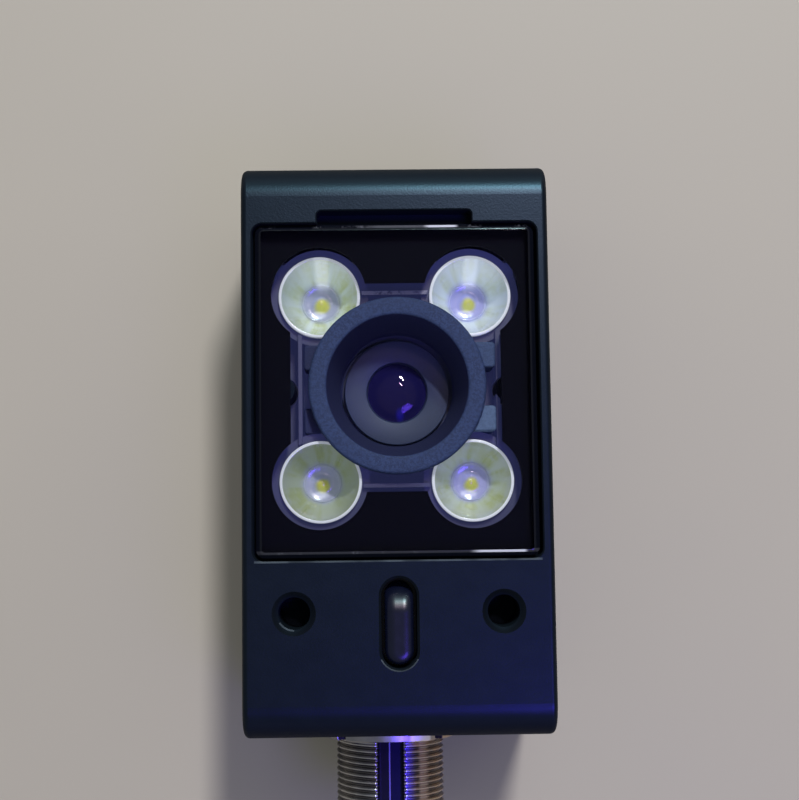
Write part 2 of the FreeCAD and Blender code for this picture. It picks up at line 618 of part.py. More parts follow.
def make_window_mask():
    """Black mask behind the window, open as a square with four round lobes."""
    opening = block(-APERTURE_WIDTH / 2, APERTURE_WIDTH / 2, LENS_Y - APERTURE_HEIGHT / 2,
                    LENS_Y + APERTURE_HEIGHT / 2, MASK_BOTTOM, WINDOW_BOTTOM)
    lobes = [rod(place, MASK_BOTTOM, WINDOW_BOTTOM, LOBE_RADIUS) for place in LED_PLACES]
    return window_blank(MASK_BOTTOM, WINDOW_BOTTOM).cut(opening.fuse(lobes))


def make_window_adhesive():
    """Bonding frame between the mask and the pocket's ledge."""
    inner = rounded_plate((0, POCKET_Y), OPENING_WIDTH, OPENING_HEIGHT, POCKET_FLOOR, MASK_BOTTOM,
                          POCKET_CORNER)
    return window_blank(POCKET_FLOOR, MASK_BOTTOM).cut(inner)


# ---------------------------------------------------------------- light unit
def make_lens_hood():
    """Moulded hood: rounded rim, conical throat and four locating lugs."""
    rim_bottom = HOOD_TOP - HOOD_RIM_DEPTH
    throat_top = LED_BOARD_TOP + HOOD_THROAT_DEPTH
    profile = [
        (HOOD_MOUTH_RADIUS + HOOD_LIP, HOOD_TOP), (HOOD_RIM_RADIUS - HOOD_LIP, HOOD_TOP),
        (HOOD_RIM_RADIUS, HOOD_TOP - HOOD_LIP), (HOOD_RIM_RADIUS, rim_bottom),
        (HOOD_BODY_RADIUS, rim_bottom), (HOOD_BODY_RADIUS, LED_BOARD_TOP),
        (HOOD_THROAT_RADIUS, LED_BOARD_TOP), (HOOD_THROAT_RADIUS, throat_top),
        (HOOD_MOUTH_RADIUS, HOOD_TOP - HOOD_LIP),
    ]
    hood = turned(profile, (0, LENS_Y))
    lugs = []
    root = (HOOD_THROAT_RADIUS + HOOD_BODY_RADIUS) / 2
    for inner, outer, drop in ((-root, -LEFT_LUG_REACH, LEFT_LUG_DROP), (root, LUG_REACH, LUG_DROP)):
        reach = sorted((inner, outer))
        for end in (-1, 1):
            span = sorted((LENS_Y + end * LUG_INNER, LENS_Y + end * LUG_OUTER))
            lug = block(reach[0], reach[1], span[0], span[1], LED_BOARD_TOP + CARRIER_PLATE,
                        HOOD_TOP - drop)
            lugs.append(lug)
    throat = turned([(0, LED_BOARD_TOP), (HOOD_THROAT_RADIUS, LED_BOARD_TOP),
                     (HOOD_THROAT_RADIUS, throat_top), (HOOD_MOUTH_RADIUS, HOOD_TOP), (0, HOOD_TOP)],
                    (0, LENS_Y))
    lugs = [lug.cut(throat) for lug in lugs]
    return hood.fuse(lugs).removeSplitter()


def make_collimator(place):
    """Moulded light guide: foot, flared body, rim and a domed centre well."""
    flare_height = CUP_TOP - LED_BOARD_TOP
    foot = Vector(COLLIMATOR_FOOT, 0, LED_BOARD_TOP)
    shoulder = Vector(COLLIMATOR_WAIST, 0, CUP_TOP)
    bulge = Vector(COLLIMATOR_FOOT + 0.62 * (COLLIMATOR_WAIST - COLLIMATOR_FOOT), 0,
                   LED_BOARD_TOP + flare_height / 2)
    rim_low = Vector(COLLIMATOR_RADIUS, 0, CUP_TOP)
    rim_high = Vector(COLLIMATOR_RADIUS, 0, COLLIMATOR_TOP)
    well_high = Vector(WELL_RADIUS, 0, COLLIMATOR_TOP)
    well_low = Vector(WELL_RADIUS, 0, COLLIMATOR_TOP - WELL_DEPTH)
    well_top = Vector(0, 0, COLLIMATOR_TOP - WELL_DEPTH + WELL_DOME)
    recess_top = Vector(0, 0, LED_BOARD_TOP + FOOT_RECESS_DEPTH)
    recess_edge = Vector(FOOT_RECESS_RADIUS, 0, LED_BOARD_TOP + FOOT_RECESS_DEPTH)
    recess_foot = Vector(FOOT_RECESS_RADIUS, 0, LED_BOARD_TOP)
    edges = [
        Part.Arc(foot, bulge, shoulder).toShape(), Part.makeLine(shoulder, rim_low),
        Part.makeLine(rim_low, rim_high), Part.makeLine(rim_high, well_high),
        Part.makeLine(well_high, well_low), dome_arc(WELL_RADIUS, well_low.z, WELL_DOME),
        Part.makeLine(well_top, recess_top), Part.makeLine(recess_top, recess_edge),
        Part.makeLine(recess_edge, recess_foot), Part.makeLine(recess_foot, foot),
    ]
    solid = Part.Face(Part.Wire(edges)).revolve(Vector(0, 0, 0), UP, 360)
    solid.translate(Vector(place[0], place[1], 0))
    return solid


def carrier_walls():
    """Thin walls that close the light unit between its cups, clear of the hood and its lugs."""
    left = -(LEFT_LUG_REACH + CARRIER_WALL_GAP)
    right = LUG_REACH + CARRIER_WALL_GAP
    end = HOOD_RIM_RADIUS + CARRIER_END_WALL_GAP
    inside = block(left, right, LENS_Y - end, LENS_Y + end, LED_BOARD_TOP, COLLIMATOR_TOP)
    walls = block(left - CARRIER_WALL, right + CARRIER_WALL, LENS_Y - end - CARRIER_WALL,
                  LENS_Y + end + CARRIER_WALL, LED_BOARD_TOP, COLLIMATOR_TOP)
    rims = [rod(place, CUP_TOP, COLLIMATOR_TOP, COLLIMATOR_RADIUS + CUP_CLEARANCE)
            for place in LED_PLACES]
    return walls.cut([inside, *rims])


def make_collimator_carrier():
    """Moulded plate with four cups that hold the collimators, and walls between the cups."""
    half_x = LED_SPACING_X / 2 + CARRIER_MARGIN_X
    half_y = LED_SPACING_Y / 2 + CARRIER_MARGIN_Y
    plate = block(-half_x, half_x, LENS_Y - half_y, LENS_Y + half_y, LED_BOARD_TOP,
                  LED_BOARD_TOP + CARRIER_PLATE)
    cups = [rod(place, LED_BOARD_TOP, CUP_TOP, CUP_OUTER) for place in LED_PLACES]
    bores = [rod(place, LED_BOARD_TOP, CUP_TOP, CUP_INNER) for place in LED_PLACES]
    bores.append(rod((0, LENS_Y), LED_BOARD_TOP, CUP_TOP, HOOD_BODY_RADIUS + CUP_CLEARANCE))
    bores += [rod(place, LED_BOARD_TOP, COLLIMATOR_TOP, LED_SCREW_POST_RADIUS + CUP_CLEARANCE)
              for place in LED_SCREW_PLACES]
    for x, y in LED_SCREW_PLACES:
        outward = sorted((x, math.copysign(SIDE, x)))
        reach = LED_SCREW_POST_RADIUS + CUP_CLEARANCE
        bores.append(block(outward[0], outward[1], y - reach, y + reach, LED_BOARD_TOP, CUP_TOP))
    return plate.fuse([*cups, carrier_walls()]).removeSplitter().cut(bores)


def make_led_emitter(place):
    """Square LED package with a round silicone dome."""
    half = EMITTER_SIZE / 2
    x, y = place
    package_top = LED_BOARD_TOP + EMITTER_HEIGHT
    package = block(x - half, x + half, y - half, y + half, LED_BOARD_TOP, package_top)
    dome = Part.makeSphere(EMITTER_DOME, Vector(x, y, package_top - EMITTER_DOME / 2), UP, 0, 90, 360)
    dome = dome.common(block(x - half, x + half, y - half, y + half, package_top - EMITTER_HEIGHT / 2,
                             package_top + EMITTER_DOME))
    return package.fuse(dome).removeSplitter()


def make_led_board():
    """Board under the four LEDs, bored for the lens barrel."""
    half_x = CAVITY_X - LED_BOARD_WALL_GAP
    board = block(-half_x, half_x, LENS_Y - LED_BOARD_HALF_HEIGHT, LENS_Y + LED_BOARD_HALF_HEIGHT,
                  LED_BOARD_BOTTOM, LED_BOARD_TOP)
    holes = [rod(place, LED_BOARD_BOTTOM, LED_BOARD_TOP, SMALL_SCREW_RADIUS + SCREW_HOLE_GAP)
             for place in LED_SCREW_PLACES]
    holes.append(rod((0, LENS_Y), LED_BOARD_BOTTOM, LED_BOARD_TOP, BARREL_RADIUS + LED_BOARD_BORE_GAP))
    return board.cut(holes)


def small_screws(places, seat, board):
    """Small pan screws through one board into their posts."""
    length = board + SMALL_SCREW_BITE - SCREW_HOLE_GAP
    return group([screw(place, seat, length, SMALL_SCREW_RADIUS, SMALL_SCREW_HEAD,
                        SMALL_SCREW_HEAD_HEIGHT, SMALL_SCREW_RADIUS) for place in places])


# ---------------------------------------------------------------- lens unit
def make_lens_barrel():
    """Threaded lens tube with a flat front ring round the glass."""
    bore = ELEMENT_RADIUS + ELEMENT_CLEARANCE
    lip_bore = GLASS_VIEW_RADIUS + ELEMENT_CLEARANCE
    profile = [
        (lip_bore + FRONT_LIP / 3, LENS_FRONT), (BARREL_FACE_RADIUS, LENS_FRONT),
        (BARREL_FACE_RADIUS, LENS_FRONT - BARREL_FACE_DEPTH), (BARREL_RADIUS, LENS_FRONT - BARREL_FACE_DEPTH),
        (BARREL_RADIUS, BARREL_BOTTOM), (bore, BARREL_BOTTOM), (bore, ELEMENT_TOP),
        (lip_bore, ELEMENT_TOP), (lip_bore, LENS_FRONT - FRONT_LIP / 3),
    ]
    return turned(profile, (0, LENS_Y))


def make_front_lens():
    """Front element: seated edge and a dome that fills the barrel's mouth."""
    edge = Vector(ELEMENT_RADIUS, 0, FRONT_ELEMENT_BOTTOM)
    shoulder = Vector(ELEMENT_RADIUS, 0, ELEMENT_TOP)
    dome_foot = Vector(GLASS_VIEW_RADIUS, 0, ELEMENT_TOP)
    dome_top = Vector(0, 0, ELEMENT_TOP + FRONT_DOME)
    base = Vector(0, 0, FRONT_ELEMENT_BOTTOM)
    edges = [
        Part.makeLine(base, edge), Part.makeLine(edge, shoulder), Part.makeLine(shoulder, dome_foot),
        dome_arc(GLASS_VIEW_RADIUS, ELEMENT_TOP, FRONT_DOME), Part.makeLine(dome_top, base),
    ]
    solid = Part.Face(Part.Wire(edges)).revolve(Vector(0, 0, 0), UP, 360)
    solid.translate(Vector(0, LENS_Y, 0))
    return solid


def make_element(z_low, thickness):
    """A plain lens element inside the barrel."""
    return rod((0, LENS_Y), z_low, z_low + thickness, ELEMENT_RADIUS)


def make_ring(z_low, z_high, outer, inner):
    """A plain ring on the lens axis."""
    return rod((0, LENS_Y), z_low, z_high, outer).cut(rod((0, LENS_Y), z_low, z_high, inner))


def make_lock_ring():
    """Slotted ring that jams the barrel in its holder."""
    ring = make_ring(HOLDER_TOP, LOCK_RING_TOP, LOCK_RING_RADIUS, BARREL_RADIUS + THREAD_CLEARANCE)
    half = LOCK_RING_SLOT / 2
    inner = (BARREL_RADIUS + LOCK_RING_RADIUS) / 2
    slots = []
    for side in (-1, 1):
        reach = sorted((side * inner, side * (LOCK_RING_RADIUS + THREAD_CLEARANCE)))
        slots.append(block(reach[0], reach[1], LENS_Y - half, LENS_Y + half, HOLDER_TOP, LOCK_RING_TOP))
        slots.append(block(-half, half, LENS_Y + reach[0], LENS_Y + reach[1], HOLDER_TOP, LOCK_RING_TOP))
    return ring.cut(slots)


def make_lens_holder():
    """Block over the image sensor, threaded for the barrel, with two screw ears."""
    room = HOLDER_ROOM / 2
    tower = rounded_plate((0, LENS_Y), HOLDER_SIZE, HOLDER_SIZE, SENSOR_BOARD_TOP, HOLDER_TOP, CAVITY_CORNER)
    ear_top = SENSOR_BOARD_TOP + HOLDER_EAR_HEIGHT
    ears = rounded_plate((0, LENS_Y), 2 * HOLDER_EAR_REACH, HOLDER_EAR_WIDTH, SENSOR_BOARD_TOP, ear_top,
                         CAVITY_CORNER)
    cuts = [block(-room, room, LENS_Y - room, LENS_Y + room, SENSOR_BOARD_TOP,
                  SENSOR_BOARD_TOP + HOLDER_ROOM_HEIGHT)]
    cuts.append(rod((0, LENS_Y), SENSOR_BOARD_TOP, HOLDER_TOP, BARREL_RADIUS + THREAD_CLEARANCE))
    cuts += [rod(place, SENSOR_BOARD_TOP, SENSOR_BOARD_TOP + SMALL_SCREW_BITE,
                 SMALL_SCREW_RADIUS + THREAD_CLEARANCE) for place in HOLDER_SCREW_PLACES]
    return tower.fuse(ears).removeSplitter().cut(cuts)


# ---------------------------------------------------------------- boards and chips
def make_main_board():
    """Processor board on the four long screws."""
    board = board_outline(NUT_END + NUT_BOARD_GAP, BOARD_END, MAIN_BOARD_BOTTOM, MAIN_BOARD_TOP)
    holes = [rod(place, MAIN_BOARD_BOTTOM, MAIN_BOARD_TOP, BOARD_SCREW_RADIUS + SCREW_HOLE_GAP)
             for place in BOARD_POST_PLACES]
    return board.cut(holes)


def make_sensor_board():
    """Board that carries the image sensor and the lens holder."""
    y_low = LOWER_POST_Y - BOARD_POST_RADIUS - BOARD_END_GAP
    board = board_outline(y_low, BOARD_END, SENSOR_BOARD_BOTTOM, SENSOR_BOARD_TOP)
    holes = [rod(place, SENSOR_BOARD_BOTTOM, SENSOR_BOARD_TOP, BOARD_SCREW_RADIUS + SCREW_HOLE_GAP)
             for place in BOARD_POST_PLACES]
    holes += [rod(place, SENSOR_BOARD_BOTTOM, SENSOR_BOARD_TOP, SMALL_SCREW_RADIUS + SCREW_HOLE_GAP)
              for place in HOLDER_SCREW_PLACES]
    return board.cut(holes)


def make_board_spacers():
    """Tubes between the main board and the sensor board."""
    return group([rod(place, MAIN_BOARD_TOP, SENSOR_BOARD_BOTTOM, BOARD_POST_RADIUS).cut(
        rod(place, MAIN_BOARD_TOP, SENSOR_BOARD_BOTTOM, BOARD_SCREW_RADIUS + SCREW_HOLE_GAP))
        for place in BOARD_POST_PLACES])


def make_board_screws():
    """Long screws through both boards into the housing's posts."""
    length = SENSOR_BOARD_TOP - MAIN_BOARD_BOTTOM + BOARD_SCREW_BITE - SCREW_HOLE_GAP
    return group([screw(place, MAIN_BOARD_BOTTOM, length, BOARD_SCREW_RADIUS, BOARD_SCREW_HEAD,
                        BOARD_SCREW_HEAD_HEIGHT, BOARD_SCREW_RADIUS / 2) for place in BOARD_POST_PLACES])


def slab(y, width, height, z_low, z_high):
    """A box centred on the long axis, for chips and pads."""
    return block(-width / 2, width / 2, y - height / 2, y + height / 2, z_low, z_high)


def make_header(y, pins, z_low, z_high):
    """Two header bodies joined by their long pins."""
    width = (pins + 1) * PIN_PITCH
    low = slab(y, width, HEADER_DEPTH, z_low, z_low + HEADER_HEIGHT)
    high = slab(y, width, HEADER_DEPTH, z_high - HEADER_HEIGHT, z_high)
    posts = []
    for index in range(pins):
        x = (index - (pins - 1) / 2) * PIN_PITCH
        posts.append(block(x - PIN_SIDE / 2, x + PIN_SIDE / 2, y - PIN_SIDE / 2, y + PIN_SIDE / 2,
                           z_low, z_high))
    return low.fuse([high] + posts).removeSplitter()


# ---------------------------------------------------------------- status light
def make_light_pipe():
    """Clear pill in the slot, with a flange behind the wall and a foot over the LED."""
    width = SLOT_WIDTH - 2 * PIPE_GAP
    length = SLOT_LENGTH - 2 * PIPE_GAP
    top = FRONT - PIPE_RECESS
    pill = obround((0, STATUS_Y), width, length, CAVITY_TOP, top)
    rim = [edge for edge in pill.Edges if level(top)(edge.CenterOfMass)]
    pill = pill.makeFillet(PIPE_ROUND, rim)
    flange = obround((0, STATUS_Y), SLOT_WIDTH + PIPE_FLANGE, SLOT_LENGTH + PIPE_FLANGE,
                     CAVITY_TOP - PIPE_FLANGE_DEPTH, CAVITY_TOP)
    foot_bottom = STATUS_BOARD_TOP + STATUS_LED_HEIGHT + STATUS_LED_GAP
    foot = rod((0, STATUS_Y), foot_bottom, CAVITY_TOP - PIPE_FLANGE_DEPTH, PIPE_FOOT_RADIUS)
    return pill.fuse([flange, foot]).removeSplitter()


def make_status_board():
    """Small board under the light pipe."""
    board = slab(STATUS_Y, STATUS_BOARD_WIDTH, STATUS_BOARD_HEIGHT, STATUS_BOARD_BOTTOM, STATUS_BOARD_TOP)
    return board.cut([rod(place, STATUS_BOARD_BOTTOM, STATUS_BOARD_TOP, SMALL_SCREW_RADIUS + SCREW_HOLE_GAP)
                      for place in STATUS_SCREW_PLACES])


# ---------------------------------------------------------------- connector
def make_connector_shell():
    """Threaded metal shell: flange, wall stem, bore and a flat along the thread."""
    shell = connector_rod(CONNECTOR_END, NUT_END, CONNECTOR_RADIUS)
    rim = [edge for edge in shell.Edges if abs(edge.CenterOfMass.y - CONNECTOR_END) < 1e-4]
    shell = shell.makeChamfer(CONNECTOR_END_CHAMFER, rim)
    shell = shell.fuse(connector_rod(FLANGE_END, -END, FLANGE_RADIUS)).removeSplitter()
    flat_z = CONNECTOR_Z + CONNECTOR_RADIUS - GROOVE_DEPTH
    cuts = [connector_rod(CONNECTOR_END, CONNECTOR_FLOOR, CONNECTOR_BORE)]
    cuts.append(connector_rod(CONNECTOR_FLOOR, NUT_END, INSERT_RADIUS + INSERT_CLEARANCE))
    cuts.append(block(CONNECTOR_X - GROOVE_WIDTH / 2, CONNECTOR_X + GROOVE_WIDTH / 2, CONNECTOR_END,
                      FLANGE_END, flat_z, CONNECTOR_Z + FLANGE_RADIUS))
    for side in (-1, 1):
        notch = block(CONNECTOR_X - FLANGE_NOTCH / 2, CONNECTOR_X + FLANGE_NOTCH / 2, FLANGE_END, -END,
                      CONNECTOR_Z + CONNECTOR_RADIUS + FLANGE_NOTCH / 2, CONNECTOR_Z + FLANGE_RADIUS)
        notch.rotate(Vector(CONNECTOR_X, 0, CONNECTOR_Z), ALONG, 45 * side)
        cuts.append(notch)
    return shell.cut(cuts)


def pin_places():
    """The connector's pins: one in the middle and the rest on a circle."""
    places = [(CONNECTOR_X, CONNECTOR_Z)]
    for index in range(PIN_COUNT):
        angle = 2 * math.pi * (index + 0.5) / PIN_COUNT - math.pi / 2
        places.append((CONNECTOR_X + PIN_CIRCLE * math.cos(angle),
                       CONNECTOR_Z + PIN_CIRCLE * math.sin(angle)))
    return places


def pin_rod(place, y_low, y_high):
    """One pin, or its hole, along Y."""
    return Part.makeCylinder(PIN_RADIUS, y_high - y_low, Vector(place[0], y_low, place[1]), ALONG)


def make_connector_insert():
    """Insulating body with a keying rib along the bore."""
    body = connector_rod(CONNECTOR_FLOOR, INSERT_END, INSERT_RADIUS)
    rib_z = CONNECTOR_Z - CONNECTOR_BORE + INSERT_CLEARANCE
    rib = block(CONNECTOR_X - KEY_WIDTH / 2, CONNECTOR_X + KEY_WIDTH / 2, CONNECTOR_FLOOR - PIN_REACH,
                CONNECTOR_FLOOR, rib_z, rib_z + KEY_HEIGHT)
    rib = rib.common(connector_rod(CONNECTOR_END, CONNECTOR_FLOOR, CONNECTOR_BORE - INSERT_CLEARANCE))
    body = body.fuse(rib).removeSplitter()
    return body.cut([pin_rod(place, CONNECTOR_FLOOR, INSERT_END) for place in pin_places()])


def make_connector_pins():
    """The contact pins, soldered through the connector board."""
    return group([pin_rod(place, CONNECTOR_FLOOR - PIN_REACH, CONNECTOR_BOARD_END)
                  for place in pin_places()])


def make_connector_seal():
    """Flat sealing ring in the housing's counterbore."""
    ring = connector_rod(-END, -END + SEAL_THICKNESS, SEAL_OUTER)
    return ring.cut(connector_rod(-END, -END + SEAL_THICKNESS, CONNECTOR_RADIUS + CONNECTOR_HOLE_GAP))


def make_connector_nut():
    """Hexagon nut on the stem, against the inside of the end wall."""
    reach = NUT_ACROSS_FLATS / math.sqrt(3)
    corners = []
    for index in range(6):
        angle = math.radians(60 * index + 30)
        corners.append(Vector(CONNECTOR_X + reach * math.cos(angle), -CAVITY_Y,
                              CONNECTOR_Z + reach * math.sin(angle)))
    face = Part.Face(Part.makePolygon(corners + corners[:1]))
    nut = face.extrude(Vector(0, NUT_THICKNESS, 0))
    return nut.cut(connector_rod(-CAVITY_Y, NUT_END, CONNECTOR_RADIUS + THREAD_CLEARANCE))


def make_connector_board():
    """Upright board behind the connector, standing on the main board."""
    board = block(CONNECTOR_X - CONNECTOR_BOARD_WIDTH / 2, CONNECTOR_X + CONNECTOR_BOARD_WIDTH / 2,
                  INSERT_END, CONNECTOR_BOARD_END, MAIN_BOARD_TOP, CONNECTOR_Z + CONNECTOR_BOARD_TOP)
    return board.cut([pin_rod(place, INSERT_END, CONNECTOR_BOARD_END) for place in pin_places()])


def make_connector_link():
    """Right-angle socket between the upright board and the main board."""
    return block(CONNECTOR_X - LINK_WIDTH / 3, CONNECTOR_X + LINK_WIDTH / 3, CONNECTOR_BOARD_END,
                 CONNECTOR_BOARD_END + HEADER_DEPTH, MAIN_BOARD_TOP, MAIN_BOARD_TOP + HEADER_HEIGHT)


def main():
    """Build and write every sub-part."""
    os.makedirs("parts", exist_ok=True)
    save("housing", make_housing())
    save("rear_cover", make_rear_cover())
    save("rear_gasket", gasket_ring())
    save("cover_screws", make_cover_screws())

    save("window", make_window())
    save("window_mask", make_window_mask())
    save("window_adhesive", make_window_adhesive())

    save("lens_hood", make_lens_hood())
    save("collimator_carrier", make_collimator_carrier())
    for number, place in enumerate(LED_PLACES, start=1):
        save("collimator_%d" % number, make_collimator(place))
        save("led_emitter_%d" % number, make_led_emitter(place))
    save("led_board", make_led_board())
    save("led_board_screws", small_screws(LED_SCREW_PLACES, LED_BOARD_BOTTOM, BOARD_THICKNESS))

    save("lens_barrel", make_lens_barrel())
    save("front_lens", make_front_lens())
    save("lens_spacer", make_ring(SPACER_BOTTOM, FRONT_ELEMENT_BOTTOM, ELEMENT_RADIUS, SPACER_BORE))
    save("middle_lens", make_element(MIDDLE_ELEMENT_BOTTOM, MIDDLE_ELEMENT_EDGE))
    save("rear_lens", make_element(REAR_ELEMENT_BOTTOM, REAR_ELEMENT_EDGE))
    save("lens_retainer", make_ring(RETAINER_BOTTOM, REAR_ELEMENT_BOTTOM, ELEMENT_RADIUS, RETAINER_BORE))
    save("lens_lock_ring", make_lock_ring())
    save("lens_holder", make_lens_holder())
    save("lens_holder_screws", small_screws(HOLDER_SCREW_PLACES, SENSOR_BOARD_BOTTOM, BOARD_THICKNESS))
    save("image_sensor", slab(LENS_Y, SENSOR_SIZE, SENSOR_SIZE, SENSOR_BOARD_TOP, SENSOR_TOP))

    save("sensor_board", make_sensor_board())
    save("main_board", make_main_board())
    save("board_spacers", make_board_spacers())
    save("board_screws", make_board_screws())
    save("processor", slab(PROCESSOR_Y, PROCESSOR_SIZE, PROCESSOR_SIZE,
                           MAIN_BOARD_BOTTOM - PROCESSOR_HEIGHT, MAIN_BOARD_BOTTOM))
    save("heat_pad", slab(PROCESSOR_Y, HEAT_PAD_SIZE, HEAT_PAD_SIZE, COVER_FLOOR,
                          COVER_FLOOR + HEAT_PAD_THICKNESS))
    save("memory_chip", slab(MEMORY_Y, MEMORY_WIDTH, MEMORY_HEIGHT,
                             MAIN_BOARD_BOTTOM - MEMORY_THICKNESS, MAIN_BOARD_BOTTOM))
    link_y = LENS_Y - HOLDER_SIZE / 2 - LINK_DEPTH
    save("board_link", slab(link_y, LINK_WIDTH, LINK_DEPTH, MAIN_BOARD_TOP, SENSOR_BOARD_BOTTOM))
    header_y = LENS_Y + LED_BOARD_HALF_HEIGHT - HEADER_DEPTH
    save("led_header", make_header(header_y, LED_HEADER_PINS, SENSOR_BOARD_TOP, LED_BOARD_BOTTOM))

    save("light_pipe", make_light_pipe())
    save("status_led", slab(STATUS_Y, STATUS_LED_SIZE, STATUS_LED_SIZE, STATUS_BOARD_TOP,
                            STATUS_BOARD_TOP + STATUS_LED_HEIGHT))
    save("status_board", make_status_board())
    save("status_board_screws", small_screws(STATUS_SCREW_PLACES, STATUS_BOARD_BOTTOM, BOARD_THICKNESS))
    save("status_header", make_header(STATUS_HEADER_Y, STATUS_HEADER_PINS, MAIN_BOARD_TOP,
                                      STATUS_BOARD_BOTTOM))

    save("connector_shell", make_connector_shell())
    save("connector_insert", make_connector_insert())
    save("connector_pins", make_connector_pins())
    save("connector_seal", make_connector_seal())
    save("connector_nut", make_connector_nut())
    save("connector_board", make_connector_board())
    save("connector_link", make_connector_link())


main()
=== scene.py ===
import json
import math
import bmesh
import bpy
from bpy.props import FloatProperty, FloatVectorProperty, IntProperty, PointerProperty
from mathutils import Euler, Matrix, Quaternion, Vector


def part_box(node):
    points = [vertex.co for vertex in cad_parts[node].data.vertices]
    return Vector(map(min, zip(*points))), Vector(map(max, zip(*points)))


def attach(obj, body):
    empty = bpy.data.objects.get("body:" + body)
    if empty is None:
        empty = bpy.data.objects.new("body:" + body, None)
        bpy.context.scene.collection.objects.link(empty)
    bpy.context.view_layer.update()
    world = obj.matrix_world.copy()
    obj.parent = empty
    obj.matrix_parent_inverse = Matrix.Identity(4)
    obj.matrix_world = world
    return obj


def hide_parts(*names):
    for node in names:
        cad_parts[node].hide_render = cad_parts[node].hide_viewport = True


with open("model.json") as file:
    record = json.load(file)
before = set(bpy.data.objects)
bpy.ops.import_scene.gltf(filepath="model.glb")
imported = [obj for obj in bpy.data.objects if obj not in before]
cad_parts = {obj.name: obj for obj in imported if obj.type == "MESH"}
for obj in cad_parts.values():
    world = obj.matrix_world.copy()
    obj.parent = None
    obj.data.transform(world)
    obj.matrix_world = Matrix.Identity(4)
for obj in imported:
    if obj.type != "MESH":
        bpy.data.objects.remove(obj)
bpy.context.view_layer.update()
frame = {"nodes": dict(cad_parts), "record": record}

bl_info = {
    "name": "Machine Vision Camera",
    "version": (1, 0, 0),
    "blender": (4, 5, 0),
    "location": "3D View > Sidebar > Vision Camera",
    "description": "Finishes the compact machine vision camera and its studio",
    "category": "Object",
}

MM = 0.001
SLOTS = {part["node"]: part["material_slot"] for part in frame["record"]["subparts"]}


# ---------------------------------------------------------------- places read from the frame
def span(node):
    """The two corners of a CAD node, in millimetres."""
    low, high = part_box(node)
    return low / MM, high / MM


def middle(node):
    """The centre of a CAD node, in millimetres."""
    low, high = span(node)
    return (low + high) / 2


HOUSING_LOW, HOUSING_HIGH = span("housing")
FRONT = HOUSING_HIGH.z
HOUSING_END = HOUSING_LOW.y
WINDOW_LOW, WINDOW_HIGH = span("window")
PIPE = middle("light_pipe")
HOLE = Vector((10.7, -16.905))  # the right-hand hole of the front, which the left one mirrors
LENS = middle("lens_barrel")
TUBE_SEAT = LENS + Vector((0.2, 0.05, 0))
HOOD_SEAT = LENS + Vector((0.15, 0.2, 0))
HOOD_RIM = 9.35
GUIDE_NODES = ["collimator_%d" % number for number in range(1, 5)]
GUIDE_OFFSET = Vector((abs(middle("collimator_2").x - LENS.x), abs(middle("collimator_2").y - LENS.y)))
SHELL_LOW, SHELL_HIGH = span("connector_shell")
CONNECTOR = Vector((middle("connector_shell").x, 0, middle("connector_seal").z))
FLANGE_END = HOUSING_END - 1.2
CREST = 5.86  # radius over the shown thread
GROOVE_FLOOR = 5.1  # height of the groove's floor over the connector's axis
GROOVE_HALF = 1.4


# ---------------------------------------------------------------- node expressions
class Socket:
    """An output of a node; arithmetic on it adds Math nodes to its tree."""

    def __init__(self, tree, socket):
        self.tree = tree
        self.socket = socket

    def math(self, operation, *values):
        return self.tree.node("ShaderNodeMath", {"operation": operation}, dict(enumerate(values)))

    def __add__(self, other):
        return self.math("ADD", self, other)

    __radd__ = __add__

    def __sub__(self, other):
        return self.math("SUBTRACT", self, other)

    def __rsub__(self, other):
        return self.math("SUBTRACT", other, self)

    def __mul__(self, other):
        return self.math("MULTIPLY", self, other)

    __rmul__ = __mul__

    def __truediv__(self, other):
        return self.math("DIVIDE", self, other)

    def __pow__(self, other):
        return self.math("POWER", self, other)

    def __lt__(self, other):
        return self.math("LESS_THAN", self, other)

    def __gt__(self, other):
        return self.math("GREATER_THAN", self, other)

    def absolute(self):
        return self.math("ABSOLUTE", self)

    def root(self):
        return self.math("SQRT", self)

    def sign(self):
        return self.math("SIGN", self)

    def sine(self):
        return self.math("SINE", self)

    def least(self, other):
        return self.math("MINIMUM", self, other)

    def step(self, low, high):
        """A soft step from 0 at low to 1 at high."""
        return self.tree.node("ShaderNodeMapRange", {"interpolation_type": "SMOOTHSTEP"},
                              {"Value": self, "From Min": low, "From Max": high})


class Nodes:
    """A node tree that is filled by calls and expressions."""

    def node(self, kind, settings=None, sockets=None, output=0):
        """Add a node: its settings first, then the values or links of its sockets."""
        made = self.tree.nodes.new(kind)
        for key, value in (settings or {}).items():
            setattr(made, key, value)
        for key, value in (sockets or {}).items():
            if isinstance(value, Socket):
                self.tree.links.new(value.socket, made.inputs[key])
            else:
                made.inputs[key].default_value = value
        return Socket(self, made.outputs[output] if made.outputs else None)

    def split(self, point):
        """The X, Y and Z sockets of a vector."""
        return [self.node("ShaderNodeSeparateXYZ", None, {0: point}, axis) for axis in "XYZ"]


def distance(across, along):
    """How far a point lies from an axis."""
    return (across ** 2.0 + along ** 2.0).root()


def near(value, centre, half):
    """1 within half a width of a centre, 0 elsewhere."""
    return (value - centre).absolute() < half


def band(value, low, rise, high, fall):
    """1 from low to high, with soft ends as wide as rise and fall, 0 elsewhere."""
    return (value - low).step(0.0, rise) * (high - value).step(0.0, fall)


